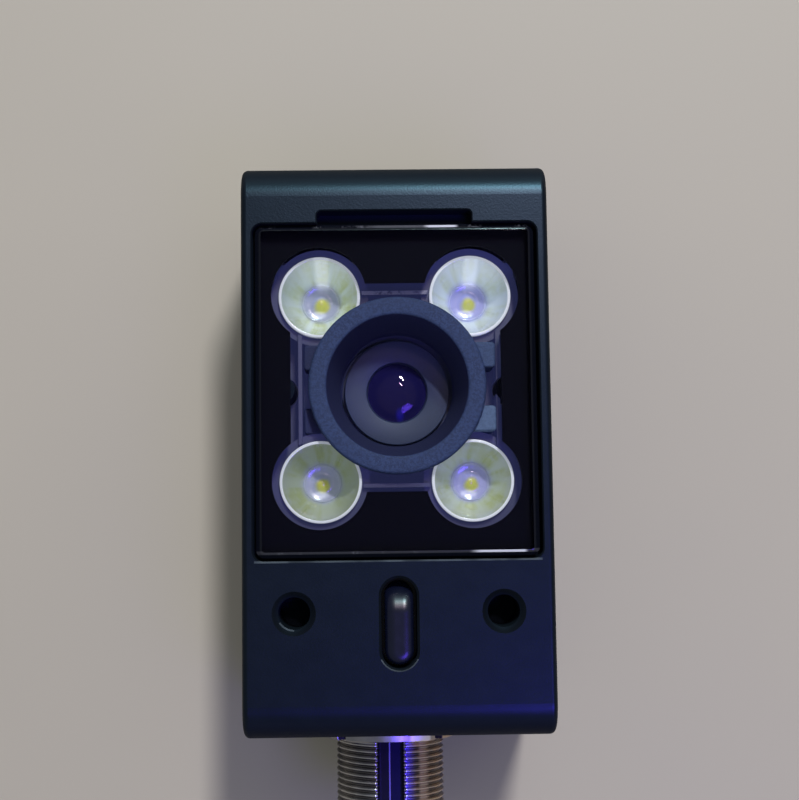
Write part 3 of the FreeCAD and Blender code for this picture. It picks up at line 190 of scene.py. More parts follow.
class Finish(Nodes):
    """The node tree of one material."""

    def __init__(self, name):
        self.material = bpy.data.materials.new(name)
        self.material.use_nodes = True
        self.tree = self.material.node_tree
        self.tree.nodes.clear()

    def point(self):
        """The point on the surface, in millimetres."""
        place = self.node("ShaderNodeTexCoord", output="Object")
        return self.node("ShaderNodeVectorMath", {"operation": "SCALE"}, {0: place, "Scale": 1 / MM})

    def axes(self):
        """The same point as X, Y and Z sockets."""
        return self.split(self.point())

    def noise(self, size, detail=3.0, roughness=0.55, point=None, stretch=(1, 1, 1)):
        """Noise whose lumps are about a size in millimetres."""
        point = point or self.point()
        point = self.node("ShaderNodeVectorMath", {"operation": "MULTIPLY"}, {0: point, 1: stretch})
        return self.node("ShaderNodeTexNoise", None, {
            "Vector": point, "Scale": 1 / size, "Detail": detail, "Roughness": roughness})

    def mix(self, factor, first, second):
        """Blend of two colours."""
        first, second = [c if isinstance(c, Socket) else (*c, 1.0) for c in (first, second)]
        return self.node("ShaderNodeMix", {"data_type": "RGBA"}, {0: factor, 6: first, 7: second}, 2)

    def shades(self, factor, colour, first, second):
        """Blend of two shades of one colour, each given as a multiple of it."""
        return self.mix(factor, [c * first for c in colour], [c * second for c in colour])

    def bump(self, height, depth):
        """A bump whose height socket of 1 stands a depth in millimetres proud."""
        return self.node("ShaderNodeBump", None, {"Height": height, "Distance": depth * MM})

    def surface(self, colour, roughness, normal=None, **constants):
        """Finish with one Principled shader."""
        sockets = {"Base Color": colour if isinstance(colour, Socket) else (*colour, 1.0),
                   "Roughness": roughness}
        if normal is not None:
            sockets["Normal"] = normal
        sockets.update({key.replace("_", " "): value for key, value in constants.items()})
        shader = self.node("ShaderNodeBsdfPrincipled", None, sockets)
        self.node("ShaderNodeOutputMaterial", None, {"Surface": shader})
        return self.material


# ---------------------------------------------------------------- finishes
def satin_casing():
    """Satin black paint with a fine grain, painted highlights along three edges and painted shade where it
    falls away.
    """
    look = bpy.context.scene.camera_casing
    finish = Finish("satin_casing")
    falloff_shade = (0.0012, 0.0014, 0.0020)
    highlight_colour = (0.075, 0.095, 0.115)
    grain = finish.noise(look.grain, 2.0)
    cloud = finish.noise(look.grain * 14, 3.0)
    x, y, z = finish.axes()
    lip = WINDOW_LOW.y - 0.36
    lip_reach = 14.7
    slot_end = PIPE.y - 2.75
    slot_radius = 2.04
    hole_radius = 1.72
    # painted highlights: pale lines along the window pocket's lower lip, the slot's lower end and the left
    # hole's lower edge
    at_lip = near(y, lip, 0.11) * (z > FRONT - 0.3) * (x.absolute() < lip_reach)
    at_slot = near(distance(x, y - slot_end), slot_radius, 0.06)
    at_slot = at_slot * (y < slot_end - 0.85) * (z > FRONT - 0.25)
    at_hole = near(distance(x + HOLE.x, y - HOLE.y), hole_radius, 0.08)
    at_hole = at_hole * (x < -HOLE.x) * (y < HOLE.y - 0.9) * (z > FRONT - 0.7)
    painted_highlight = (at_lip + at_slot + at_hole) * (0.35 + 0.65 * finish.noise(3.0, 2.0).step(0.35, 0.6))
    fall = (FRONT - 0.1 - z).step(0.0, 0.7)
    colour = finish.shades(cloud.step(0.35, 0.7), look.colour, 0.9, 1.1)
    # painted shade: the paint turns near black where the surface falls away from the front
    colour = finish.mix(fall * 0.6, colour, falloff_shade)
    # the painted highlights are mixed in here
    colour = finish.mix(painted_highlight, colour, highlight_colour)
    rough = 0.06 * grain + 0.03 * cloud + (look.roughness - 0.045) + 0.38 * fall
    return finish.surface(colour, rough, finish.bump(grain, look.grain_depth),
                          Specular_IOR_Level=0.19, Specular_Tint=(0.5, 0.78, 1.0, 1.0))


def plain(name, colour, roughness, grain=0.3, depth=0.004, spread=0.12, **constants):
    """A moulded or painted surface with a faint grain and uneven tone."""
    finish = Finish(name)
    lumps = finish.noise(grain, 2.0)
    tone = finish.shades(lumps.step(0.3, 0.75), colour, 1 - spread, 1 + spread)
    normal = finish.bump(lumps, depth) if depth else None
    return finish.surface(tone, roughness - 0.05 + 0.1 * lumps, normal, **constants)


def turned_metal(name, colour, roughness, axis="Z"):
    """Plated metal with fine turning lines about an axis and faint stains."""
    finish = Finish(name)
    stretch = {"Y": (0.15, 1, 0.15), "Z": (0.15, 0.15, 1)}[axis]
    lines = finish.noise(0.06, 2.0, stretch=stretch)
    stain = finish.noise(2.2, 3.0)
    tone = finish.shades(stain.step(0.4, 0.7), colour, 1.0, 0.78)
    return finish.surface(tone, roughness - 0.06 + 0.14 * stain + 0.06 * lines,
                          finish.bump(lines, 0.004), Metallic=1.0)


def carrier_plastic():
    """Dark violet moulding with painted highlights on its thin wall tops and a painted glow, stronger
    round the upper guides.
    """
    finish = Finish("carrier_plastic")
    x, y, z = finish.axes()
    wall_top = span("collimator_carrier")[1].z
    # painted highlights: pale wall tops, faint on the left and strong on the far walls
    painted_highlight = z.step(wall_top - 0.15, wall_top - 0.05) * finish.noise(0.8, 3.0).step(0.3, 0.55)
    painted_highlight = painted_highlight * (0.04 * (x < 0.0) + 0.9 * (y > LENS.y + 9.0))
    tone = finish.mix(painted_highlight, (0.022, 0.024, 0.075), (0.34, 0.33, 0.46))
    # painted light: the whole moulding glows faintly, more round the upper guides and most on the right
    lit = (y - LENS.y - 11.2).step(0.0, 2.0) * (0.35 + 0.65 * (x > 0.0))
    glow = finish.mix(lit, (0.014, 0.017, 0.060), (0.021, 0.025, 0.100))
    return finish.surface(tone, 0.5, finish.bump(finish.noise(0.3), 0.01),
                          Emission_Color=glow, Emission_Strength=1.0)


def printed_board(name, colour, track):
    """Solder mask over copper tracks and round pads."""
    finish = Finish(name)
    point = finish.point()
    lanes = finish.node("ShaderNodeTexBrick", {"offset": 0.5}, {
        "Vector": point, "Scale": 1.0, "Mortar Size": 0.09, "Mortar Smooth": 0.1, "Brick Width": 2.6,
        "Row Height": 0.55}, "Fac")
    pads = finish.node("ShaderNodeTexVoronoi", None, {"Vector": point, "Scale": 0.5}, "Distance") < 0.2
    tone = finish.mix(lanes * 0.6, colour, track)
    tone = finish.mix(pads, tone, (0.5, 0.47, 0.4))
    return finish.surface(tone, 0.38 + 0.1 * finish.noise(0.4), finish.bump(lanes, 0.02))


def window_clear():
    """Clear plate: almost nothing shows but its gloss."""
    finish = Finish("window_clear")
    haze = finish.noise(6.0, 2.0)
    return finish.surface((0.004, 0.004, 0.012), 0.05 + 0.03 * haze, Alpha=0.12, Specular_IOR_Level=0.12)


def window_bevel():
    """Polished bevel, dark but for painted highlights in a few places."""
    finish = Finish("window_bevel")
    x, y, _ = finish.axes()
    patches = finish.noise(2.4, 2.0, stretch=(1, 0.2, 0.2)).step(0.52, 0.66)
    speckle = finish.noise(0.25, 2.0).step(0.4, 0.6)
    # painted highlights: bright strips on the top and bottom bevels, with faint sparkles
    head = (y > WINDOW_HIGH.y - 0.15) * (y < WINDOW_HIGH.y + 0.12)
    foot = (y < WINDOW_LOW.y + 0.72) * (y > WINDOW_LOW.y + 0.36)
    dim = 0.10 * (x + 3.6).step(0.0, 2.0)
    bright = 0.7 * (x - 2.9).step(0.0, 0.9)
    top = head * (dim + bright) * (6.8 - x).step(0.0, 0.6)
    bottom = foot * band(x, 7.2, 1.6, 13.4, 0.6)
    faint = (head + foot) * (patches * speckle * 0.12 + foot * 0.04)
    glow = (top + bottom + faint).least(1.0)
    # the painted highlights are mixed in as pale blue-white
    tone = finish.mix(glow, (0.004, 0.005, 0.010), (0.80, 0.84, 1.0))
    return finish.surface(tone, 0.12 + 0.1 * speckle, Specular_IOR_Level=0.2)


def window_black():
    """Black print behind the window."""
    return plain("window_black", (0.0010, 0.0011, 0.0040), 0.6, grain=0.5, depth=0.0, spread=0.2,
                 Specular_IOR_Level=0.03)


def hood_rubber():
    """Matte moulded hood with a sandy grain, painted shade down its throat and on its left lugs, and
    painted highlights on its right-hand lugs.
    """
    look = bpy.context.scene.camera_optics
    finish = Finish("hood_rubber")
    x, y, z = finish.axes()
    top = span("lens_hood")[1].z
    reach = distance(x - HOOD_SEAT.x, y - HOOD_SEAT.y)
    sand = finish.noise(0.2, 2.0, 0.7)
    lumps = finish.noise(0.4, 2.0)
    grain = sand * 0.6 + lumps * 0.4
    tone = finish.shades(grain.step(0.40, 0.62), look.hood_colour, 0.82, 1.22)
    # painted shade: darker down the throat
    throat = (reach < HOOD_RIM - 1.6) * (z < top - 0.12)
    tone = finish.mix(throat * 0.9, tone, look.throat_shade)
    lugs = reach > HOOD_RIM + 0.05
    # painted shade: the left-hand lugs take the darker throat colour
    tone = finish.mix(lugs * (x < 0.0) * 0.8, tone, look.throat_shade)
    # painted highlights: pale places on the right-hand lugs, brightest on the lower pair
    pale = lugs * (x > 0.0) * (0.3 + 0.7 * (y < LENS.y)) * (0.75 + 0.25 * lumps.step(0.3, 0.7))
    tone = finish.mix(pale * 0.7, tone, look.lug_highlight_colour)
    return finish.surface(tone, 0.66 + 0.12 * lumps, finish.bump(grain, 0.05), Specular_IOR_Level=0.25)


def optic_plastic():
    """Clear moulded light guide over its lamp, its colours by distance from its own axis, with painted
    light: a glow, painted highlights and a violet painted reflection on the right-hand guides.
    """
    look = bpy.context.scene.camera_optics
    finish = Finish("optic_plastic")
    black = (0.0, 0.0, 0.0)
    olive = (0.20, 0.26, 0.10)
    slate = (0.34, 0.44, 0.56)
    x, y, _ = finish.axes()
    side = (x - LENS.x).sign()
    end = (y - LENS.y).sign()
    across = x - LENS.x - side * GUIDE_OFFSET.x
    along = y - LENS.y - end * GUIDE_OFFSET.y
    reach = distance(across, along)
    right = 0.5 + 0.5 * side
    upper = 0.5 + 0.5 * end
    spokes = finish.node("ShaderNodeCombineXYZ", None, {
        0: across / reach * 1.7, 1: along / reach * 1.7, 2: reach * 0.12 + right * 3.0 + upper})
    streak = finish.noise(0.6, 1.5, point=spokes)
    cloud = finish.noise(1.3, 2.0)
    ragged = cloud - 0.5
    flank = finish.mix(streak.step(0.36, 0.64), look.flank_colour, look.flank_pale)
    flank = finish.mix(cloud.step(0.4, 0.7) * 0.6, flank, look.flank_pale)
    # painted reflection: violet on the upper right-hand guide
    flank = finish.mix(right * upper * 0.4, flank, look.flank_violet_reflection)
    flank = finish.mix((1.0 - upper) * (0.62 - 0.27 * right), flank, olive)
    outer_left = (0.0 - across).step(0.8, 3.4) * (1.0 - right) * upper
    flank = finish.mix(outer_left * 0.5, flank, slate)
    # painted reflection: violet ring round the lamps of the right-hand guides
    well = finish.mix(right * 0.6, look.well_colour, look.well_violet_reflection)
    tone = finish.mix((reach + 0.35 * ragged).step(1.7, 2.6), well, flank)
    lamp = distance(across - 0.1, along + 0.3) + 0.5 * ragged
    tone = finish.mix(lamp.step(0.45, 1.05), look.lamp_colour, tone)
    # painted highlight: a white crescent below each lamp
    spark = distance(across + 0.25, 2.0 * (along + 1.25)) + 0.5 * ragged
    spark = 1.0 - spark.step(0.45, 1.1)
    # painted highlight: the rim is painted silvery white
    rim = reach.step(4.0, 4.08)
    tone = finish.mix(rim, tone, look.rim_highlight_colour)
    # painted light: a bright wedge on the far walls of the upper guides
    wedge = along.step(1.0, 2.4) * (0.75 - (across - 0.2).absolute()).step(-0.3, 0.5) * upper
    wedge = wedge + along.step(0.6, 3.6) * upper * (0.35 + 0.2 * right)
    shine = (wedge * 0.9 + spark * 0.8 + rim * (0.35 + 0.25 * right)).least(1.0)
    # painted light: each guide glows with part of its own colour, brighter at the wedge, the crescent and
    # the rim
    glow = finish.mix(shine, finish.mix(0.28, black, tone), look.rim_highlight_colour)
    return finish.surface(tone, 0.2 + 0.2 * streak, finish.bump(streak, 0.05), IOR=1.5,
                          Coat_Weight=0.6, Coat_Roughness=0.08, Emission_Color=glow,
                          Emission_Strength=0.55)


def lens_black():
    """Blasted black metal with faint turning rings."""
    look = bpy.context.scene.camera_optics
    finish = Finish("lens_black")
    x, y, _ = finish.axes()
    rings = (distance(x - LENS.x, y - LENS.y) * 60.0).sine() * 0.5 + 0.5
    dust = finish.noise(0.12, 2.0)
    tone = finish.shades(dust.step(0.3, 0.8), look.barrel_colour, 0.85, 1.15)
    return finish.surface(tone, 0.55 + 0.1 * dust, finish.bump(rings * 0.3 + dust * 0.7, 0.006))


def lens_glass():
    """Coated front element: violet and near black, with a painted deep blue reflection towards its lower
    part.
    """
    finish = Finish("lens_glass")
    x, y, _ = finish.axes()
    # painted reflection: a deep blue spot on the lower part of the glass
    low = distance(1.6 * (x - LENS.x - 0.5), y - LENS.y + 2.35)
    tone = finish.mix(low.step(0.2, 1.0), (0.02, 0.015, 0.42), (0.013, 0.011, 0.100))
    return finish.surface(tone, 0.015 + 0.01 * finish.noise(1.0), Specular_IOR_Level=0.25,
                          Specular_Tint=(1.0, 0.75, 1.0, 1.0))


def smoky_pipe():
    """Smoky light pipe, satin on top."""
    finish = Finish("smoky_pipe")
    cloud = finish.noise(0.8, 3.0)
    tone = finish.mix(cloud, (0.0025, 0.004, 0.015), (0.005, 0.007, 0.022))
    return finish.surface(tone, 0.24 + 0.06 * cloud, Specular_IOR_Level=0.24)


def plated_thread():
    """Nickel plate over brass with a rougher groove; painted shade in the valleys, the groove and the
    notches, painted brownish and violet reflections along the top, and painted shade and a painted
    highlight on the flange.
    """
    finish = Finish("plated_thread")
    x, y, z = finish.axes()
    across = x - CONNECTOR.x
    rise = z - CONNECTOR.z
    reach = distance(across, rise)
    above = rise > 0.0
    threaded = y < FLANGE_END
    stain = finish.noise(1.4, 4.0)
    tone = finish.mix(stain.step(0.3, 0.75), (0.33, 0.33, 0.32), (0.46, 0.45, 0.42))
    # painted reflection: brownish patches on the right of the thread
    warm_reflection = (across - 1.6).step(0.0, 1.2) * stain.step(0.25, 0.6)
    tone = finish.mix(warm_reflection, tone, (0.50, 0.38, 0.26))
    # painted shade: the thread's valleys are painted dark
    valley = (CREST - 0.06 - reach).step(0.05, 0.28) * (reach > GROOVE_FLOOR + 0.05) * threaded
    tone = finish.mix(valley * 0.85, tone, (0.05, 0.045, 0.045))
    # painted reflection: a light brown band and a violet band along the top of the thread
    tan_reflection = band(across, 2.9, 0.4, 4.3, 0.6) * above
    tone = finish.mix(tan_reflection * 0.6, tone, (0.80, 0.66, 0.52))
    violet = band(across, 1.2, 0.3, 2.9, 0.9) * above
    tone = finish.mix(violet * 0.35, tone, (0.22, 0.14, 0.85))
    groove = (across.absolute() < GROOVE_HALF + 0.02) * above * threaded * (reach < CREST - 0.08)
    # painted shade: the groove's floor is near black, bluer on its right, with a painted highlight line
    # along its middle
    floor = finish.mix(across.step(-0.3, 0.3), (0.008, 0.008, 0.012), (0.007, 0.007, 0.022))
    floor = finish.mix(near(across, -0.1, 0.07), floor, (0.12, 0.11, 0.22))
    tone = finish.mix(groove, tone, floor)
    collar = (y > FLANGE_END - 0.05) * (reach > CREST + 0.14) * above
    # painted shade on the flange's left side
    shade = collar * (0.0 - across).step(-0.6, 1.4)
    tone = finish.mix(shade * 0.45, tone, (0.12, 0.12, 0.14))
    # painted highlight on the flange's right side
    shine = collar * band(across, 1.9, 0.5, 4.4, 0.3)
    tone = finish.mix(shine, tone, (0.98, 0.90, 0.85))
    # painted shade: the notch walls are painted near black
    notch = collar * (across.absolute() - rise).absolute().step(0.9, 0.8)
    tone = finish.mix(notch, tone, (0.03, 0.03, 0.03))
    rough = 0.22 + 0.2 * stain + 0.15 * groove + 0.4 * notch
    return finish.surface(tone, rough, finish.bump(stain, 0.01), Metallic=1.0)


def finishes():
    """Every material, by the record's slot name."""
    return {
        "black_casing": satin_casing(),
        "seal_rubber": plain("seal_rubber", (0.012, 0.012, 0.013), 0.7),
        "dark_screw": turned_metal("dark_screw", (0.05, 0.05, 0.055), 0.36),
        "plain_screw": turned_metal("plain_screw", (0.45, 0.45, 0.46), 0.3),
        "window_clear": window_clear(),
        "window_black": window_black(),
        "hood_rubber": hood_rubber(),
        "carrier_plastic": carrier_plastic(),
        "clear_plastic": optic_plastic(),
        "led_yellow": plain("led_yellow", (0.75, 0.62, 0.08), 0.4, depth=0.01),
        "led_white_board": plain("led_white_board", (0.6, 0.6, 0.58), 0.45),
        "green_board": printed_board("green_board", (0.006, 0.06, 0.03), (0.015, 0.13, 0.06)),
        "chip_black": plain("chip_black", (0.02, 0.02, 0.021), 0.5, depth=0.01),
        "sensor_glass": plain("sensor_glass", (0.03, 0.02, 0.06), 0.08, depth=0.0),
        "lens_black": lens_black(),
        "lens_glass": lens_glass(),
        "header_black": plain("header_black", (0.015, 0.015, 0.016), 0.45),
        "pad_grey": plain("pad_grey", (0.25, 0.27, 0.3), 0.8, depth=0.03),
        "pipe_smoky": smoky_pipe(),
        "nickel": plated_thread(),
        "gold_contact": turned_metal("gold_contact", (0.85, 0.6, 0.25), 0.2, axis="Y"),
        "insert_plastic": plain("insert_plastic", (0.014, 0.014, 0.016), 0.45),
    }


MADE = {}  # every finish by its slot, once made


def finish_of(slot):
    """The material of a slot; the first call makes them all."""
    if not MADE:
        MADE.update(finishes())
    return MADE[slot]


# ---------------------------------------------------------------- mesh helpers, all in millimetres
CREASE = math.radians(32)


def arc(centre_r, centre_z, radius, start, end, steps=6):
    """Points of an arc in the (radius, height) plane, angles in degrees."""
    points = []
    for index in range(steps + 1):
        angle = math.radians(start + (end - start) * index / steps)
        points.append((centre_r + radius * math.cos(angle), centre_z + radius * math.sin(angle)))
    return points


def loft(rings, closed=False):
    """Skin equal rings of points into one closed shell."""
    shell = bmesh.new()
    rows = [[shell.verts.new(Vector(point) * MM) for point in ring] for ring in rings]
    pairs = list(zip(rows, rows[1:]))
    if closed:
        pairs.append((rows[-1], rows[0]))
    for low, high in pairs:
        for index in range(len(low)):
            after = (index + 1) % len(low)
            shell.faces.new((low[index], low[after], high[after], high[index]))
    if not closed:
        shell.faces.new(rows[0])
        shell.faces.new(rows[-1])
    bmesh.ops.remove_doubles(shell, verts=shell.verts, dist=0.0005 * MM)
    bmesh.ops.recalc_face_normals(shell, faces=shell.faces)
    return shell


def lathe(profile, centre, turn, closed=True):
    """Revolve (radius, height) points about an axis; a radius may depend on the angle."""
    angles = [2 * math.pi * index / turn for index in range(turn)]
    rings = []
    for radius, height in profile:
        ring = []
        for angle in angles:
            reach = radius(angle) if callable(radius) else radius
            ring.append((centre[0] + reach * math.cos(angle), centre[1] + reach * math.sin(angle), height))
        rings.append(ring)
    return loft(rings, closed)


def rounded_outline(centre, width, height, corner, steps):
    """Corner-rounded rectangle as (x, y) points."""
    points = []
    for quarter, (sx, sy) in enumerate(((1, 1), (-1, 1), (-1, -1), (1, -1))):
        x = centre[0] + sx * (width / 2 - corner)
        y = centre[1] + sy * (height / 2 - corner)
        points += arc(x, y, corner, 90 * quarter, 90 * quarter + 90, steps)
    return points


def plate(centre, width, height, corner, levels, steps):
    """Rounded plate through (inset, height) levels."""
    rings = []
    for inset, z in levels:
        outline = rounded_outline(centre, width - 2 * inset, height - 2 * inset, corner - inset, steps)
        rings.append([(x, y, z) for x, y in outline])
    return loft(rings)


def to_mesh(name, shells):
    """Join shells into one mesh with smooth faces and sharp creases."""
    joined = bmesh.new()
    mesh = bpy.data.meshes.new(name)
    for shell in shells:
        shell.to_mesh(mesh)
        joined.from_mesh(mesh)
        shell.free()
    joined.to_mesh(mesh)
    joined.free()
    mesh.shade_smooth()
    mesh.set_sharp_from_angle(angle=CREASE)
    return mesh


def settle(mesh, slot, *nodes, materials=None):
    """Make a finished mesh a piece, which stands for the CAD nodes that are named."""
    piece = bpy.data.objects.new(mesh.name, mesh)
    bpy.context.scene.collection.objects.link(piece)
    for material in materials or [finish_of(slot)]:
        mesh.materials.append(material)
    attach(piece, "root")
    if nodes:
        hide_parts(*nodes)


# ---------------------------------------------------------------- Geometry Nodes
class Growth(Nodes):
    """A Geometry Nodes tree with named sizes, run once on a mesh."""

    def __init__(self, name):
        self.tree = bpy.data.node_groups.new(name, "GeometryNodeTree")
        self.tree.interface.new_socket("Geometry", in_out="INPUT", socket_type="NodeSocketGeometry")
        self.tree.interface.new_socket("Geometry", in_out="OUTPUT", socket_type="NodeSocketGeometry")
        self.start = self.tree.nodes.new("NodeGroupInput")
        self.sizes = {}

    def size(self, name, value):
        """A named length, in millimetres."""
        item = self.tree.interface.new_socket(name, in_out="INPUT", socket_type="NodeSocketFloat")
        self.sizes[item.identifier] = value
        return Socket(self, self.start.outputs[name])

    def geometry(self):
        """The mesh that the tree is run on."""
        return Socket(self, self.start.outputs["Geometry"])

    def grow(self, geometry, mesh, material):
        """End the tree, run it on a mesh and give back the plain result."""
        geometry = self.node("GeometryNodeRealizeInstances", None, {"Geometry": geometry})
        geometry = self.node("GeometryNodeSetMaterial", None,
                             {"Geometry": geometry, "Material": material})
        self.node("NodeGroupOutput", None, {"Geometry": geometry})
        carrier = bpy.data.objects.new(mesh.name, mesh)
        bpy.context.scene.collection.objects.link(carrier)
        modifier = carrier.modifiers.new("growth", "NODES")
        modifier.node_group = self.tree
        for identifier, value in self.sizes.items():
            modifier[identifier] = value
        evaluated = carrier.evaluated_get(bpy.context.evaluated_depsgraph_get())
        result = bpy.data.meshes.new_from_object(evaluated)
        carrier.modifiers.remove(modifier)
        bpy.data.objects.remove(carrier)
        result.name = mesh.name + "_mesh"
        return result


# ---------------------------------------------------------------- settings
def length(name, description, default, **limits):
    """A size property in millimetres."""
    return FloatProperty(name=name, description=description, default=default, **limits)


def paint(name, description, default):
    """A colour property."""
    return FloatVectorProperty(name=name, description=description, default=default, subtype="COLOR",
                               min=0.0, max=1.0)


class CasingSettings(bpy.types.PropertyGroup):
    colour: paint("Colour", "Colour of the satin paint", (0.0034, 0.0046, 0.0080))
    grain: length("Grain", "Size of the paint's grain in millimetres", 0.18, min=0.05)
    grain_depth: length("Grain depth", "Height of the grain in millimetres", 0.010, min=0.0)
    roughness: FloatProperty(name="Roughness", description="Mean roughness of the paint",
                             default=0.33, min=0.05, max=1.0, subtype="FACTOR")


class OpticsSettings(bpy.types.PropertyGroup):
    hood_colour: paint("Hood", "Colour of the moulded hood", (0.042, 0.072, 0.190))
    # painted shade inside the hood and on the left-hand lugs
    throat_shade: paint("Hood throat", "Colour inside the hood", (0.021, 0.026, 0.105))
    # painted highlights on the right-hand lugs
    lug_highlight_colour: paint("Hood lugs", "Pale rubbed places of the right-hand lugs", (0.19, 0.30, 0.52))
    barrel_colour: paint("Lens barrel", "Colour of the ring round the glass", (0.029, 0.050, 0.142))
    flank_colour: paint("Light guide", "Yellow-green of the guides' walls", (0.62, 0.72, 0.34))
    flank_pale: paint("Light guide, pale", "Pale streaks of the guides' walls", (0.80, 0.92, 0.90))
    # painted reflection of violet light on the right-hand guides
    flank_violet_reflection: paint("Light guide, violet", "Tint of the right-hand guides", (0.72, 0.82, 1.0))
    well_colour: paint("Guide well", "Lavender ring round the lamp", (0.42, 0.46, 0.66))
    # painted reflection of violet light round the right-hand lamps
    well_violet_reflection: paint("Guide well, violet", "Ring of the right-hand guides", (0.42, 0.42, 0.95))
    lamp_colour: paint("Lamp", "Yellow of the lamp", (0.66, 0.66, 0.14))
    # painted highlight of the guides' rims
    rim_highlight_colour: paint("Guide rim", "Silvery rim of the guides", (0.82, 0.88, 1.0))


class ConnectorSettings(bpy.types.PropertyGroup):
    pitch: length("Thread pitch", "Distance between the crests in millimetres", 0.65, min=0.3)
    depth: length("Thread depth", "Depth of the thread in millimetres", 0.34, min=0.05)
    turn: IntProperty(name="Steps round", description="Number of faces round the shell",
                      default=144, min=48)


class StageSettings(bpy.types.PropertyGroup):
    floor_colour: paint("Floor", "Colour of the plain floor", (0.48, 0.445, 0.37))
    key_power: FloatProperty(name="Key light", description="Power of the small key light in watts",
                             default=4.2, min=0.0, subtype="POWER")
    sky: FloatProperty(name="Room light", description="Strength of the even room light",
                       default=0.34, min=0.0)
    focal: FloatProperty(name="Focal length", description="Focal length of the lens",
                         default=63.0, min=10.0, subtype="DISTANCE_CAMERA")


# ---------------------------------------------------------------- pieces
class CAMERA_OT_plain_nodes(bpy.types.Operator):
    """Gives every CAD piece its procedural finish"""
    bl_idname = "vision_camera.plain_nodes"
    bl_label = "CAD pieces"

    def execute(self, context):
        for name, node in frame["nodes"].items():
            for index in range(len(node.material_slots)):
                node.material_slots[index].material = finish_of(SLOTS[name])
        return {"FINISHED"}


class CAMERA_OT_window(bpy.types.Operator):
    """Clear window plate with a polished bevel"""
    bl_idname = "vision_camera.window"
    bl_label = "Window"

    def execute(self, context):
        low, high = WINDOW_LOW, WINDOW_HIGH
        extra = 0.2
        lift = 0.01
        corner = 0.9
        centre = middle("window") + Vector((0, extra / 2, 0))
        levels = [(0.0, low.z + lift), (0.0, high.z - 0.35), (0.25, high.z - 0.2), (0.6, high.z),
                  (0.8, high.z)]
        shell = plate(centre, high.x - low.x, high.y - low.y + extra, corner, levels, 8)
        for face in shell.faces:
            flat = abs(face.normal.z) > 0.99
            face.material_index = 0 if flat else 1
        settle(to_mesh("window_plate", [shell]), "window_clear", "window",
               materials=[finish_of("window_clear"), window_bevel()])
        return {"FINISHED"}


class CAMERA_OT_hood(bpy.types.Operator):
    """Grained hood with a rounded rim and four locating lugs"""
    bl_idname = "vision_camera.hood"
    bl_label = "Hood"

    @staticmethod
    def ring(low, high, body):
        """The turned part: a conical throat, a rounded rim and a plain body."""
        mouth = HOOD_RIM - 1.95
        throat = mouth - 1.15
        foot = 6.1
        lip = 0.35
        profile = [(foot, low.z), (foot, low.z + 0.3), (throat, low.z + 0.6), (throat, low.z + 1.5)]
        profile += arc(mouth + lip, high.z - lip, lip, 180, 90)
        profile += arc(HOOD_RIM - lip, high.z - lip, lip, 90, 0)
        profile += [(HOOD_RIM, high.z - 1.4), (HOOD_RIM - 0.1, high.z - 1.5), (body, high.z - 1.5),
                    (body, low.z)]
        return lathe(profile, HOOD_SEAT, 128)

    @staticmethod
    def lug(low, reach, end, top, body):
        """One lug from inside the ring's body out to its reach."""
        far = 4.7
        close = 2.02
        hidden = 1.0
        corner = 0.35
        side = math.copysign(1, reach)
        centre = (LENS.x + (reach + side * (body - hidden)) / 2, LENS.y + end * (far + close) / 2)
        levels = [(0.0, low.z + 1.3), (0.0, top - 0.15), (0.06, top - 0.06), (0.18, top), (0.22, top)]
        return plate(centre, abs(reach) - body + hidden, far - close, corner, levels, 4)

    def execute(self, context):
        low, high = span("lens_hood")
        body = HOOD_RIM - 1.25
        shells = [self.ring(low, high, body)]
        left_top = high.z - 2.1
        right_top = high.z - 0.7
        for reach, top in ((low.x - LENS.x, left_top), (high.x - LENS.x, right_top)):
            for end in (-1, 1):
                shells.append(self.lug(low, reach, end, top, body))
        settle(to_mesh("hood", shells), "hood_rubber", "lens_hood")
        return {"FINISHED"}


class CAMERA_OT_light_guides(bpy.types.Operator):
    """Four moulded light guides, each over its lamp"""
    bl_idname = "vision_camera.light_guides"
    bl_label = "Light guides"

    @staticmethod
    def profile(foot, top, rim):
        """Half a guide's section: up its outside, over the rim, down the cup and over the lamp's dome."""
        shoulder = top - 0.8
        floor = foot + 0.25
        dome = 0.8
        points = [(0, foot), (2.6, foot), (3.0, foot + 1.4), (3.5, foot + 2.9), (3.85, shoulder),
                  (rim - 0.05, shoulder), (rim, shoulder + 0.1)]
        points += arc(rim - 0.1, top - 0.1, 0.1, 0, 90, 4)
        points += arc(rim - 0.26, top - 0.1, 0.08, 90, 180, 4)
        points += [(3.86, top - 0.75), (3.62, top - 1.5), (3.28, top - 2.4), (2.88, top - 3.3),
                   (2.42, top - 4.1), (2.2, floor + 0.3)]
        points += arc(1.95, floor + 0.1, 0.16, 20, 160, 6)
        points += [(1.4, floor), (1.0, floor + 0.02), (dome, floor + 0.15)]
        points += arc(0, floor - 0.1, dome, 45, 90, 8)
        return points

    def execute(self, context):
        for node in GUIDE_NODES:
            low, high = span(node)
            number = node[-1]
            rim = (high.x - low.x) / 2
            guide = lathe(self.profile(low.z, high.z, rim), middle(node), 96, closed=False)
            mesh = to_mesh("light_guide_" + number, [guide])
            settle(mesh, "clear_plastic", node, "led_emitter_" + number)
        return {"FINISHED"}


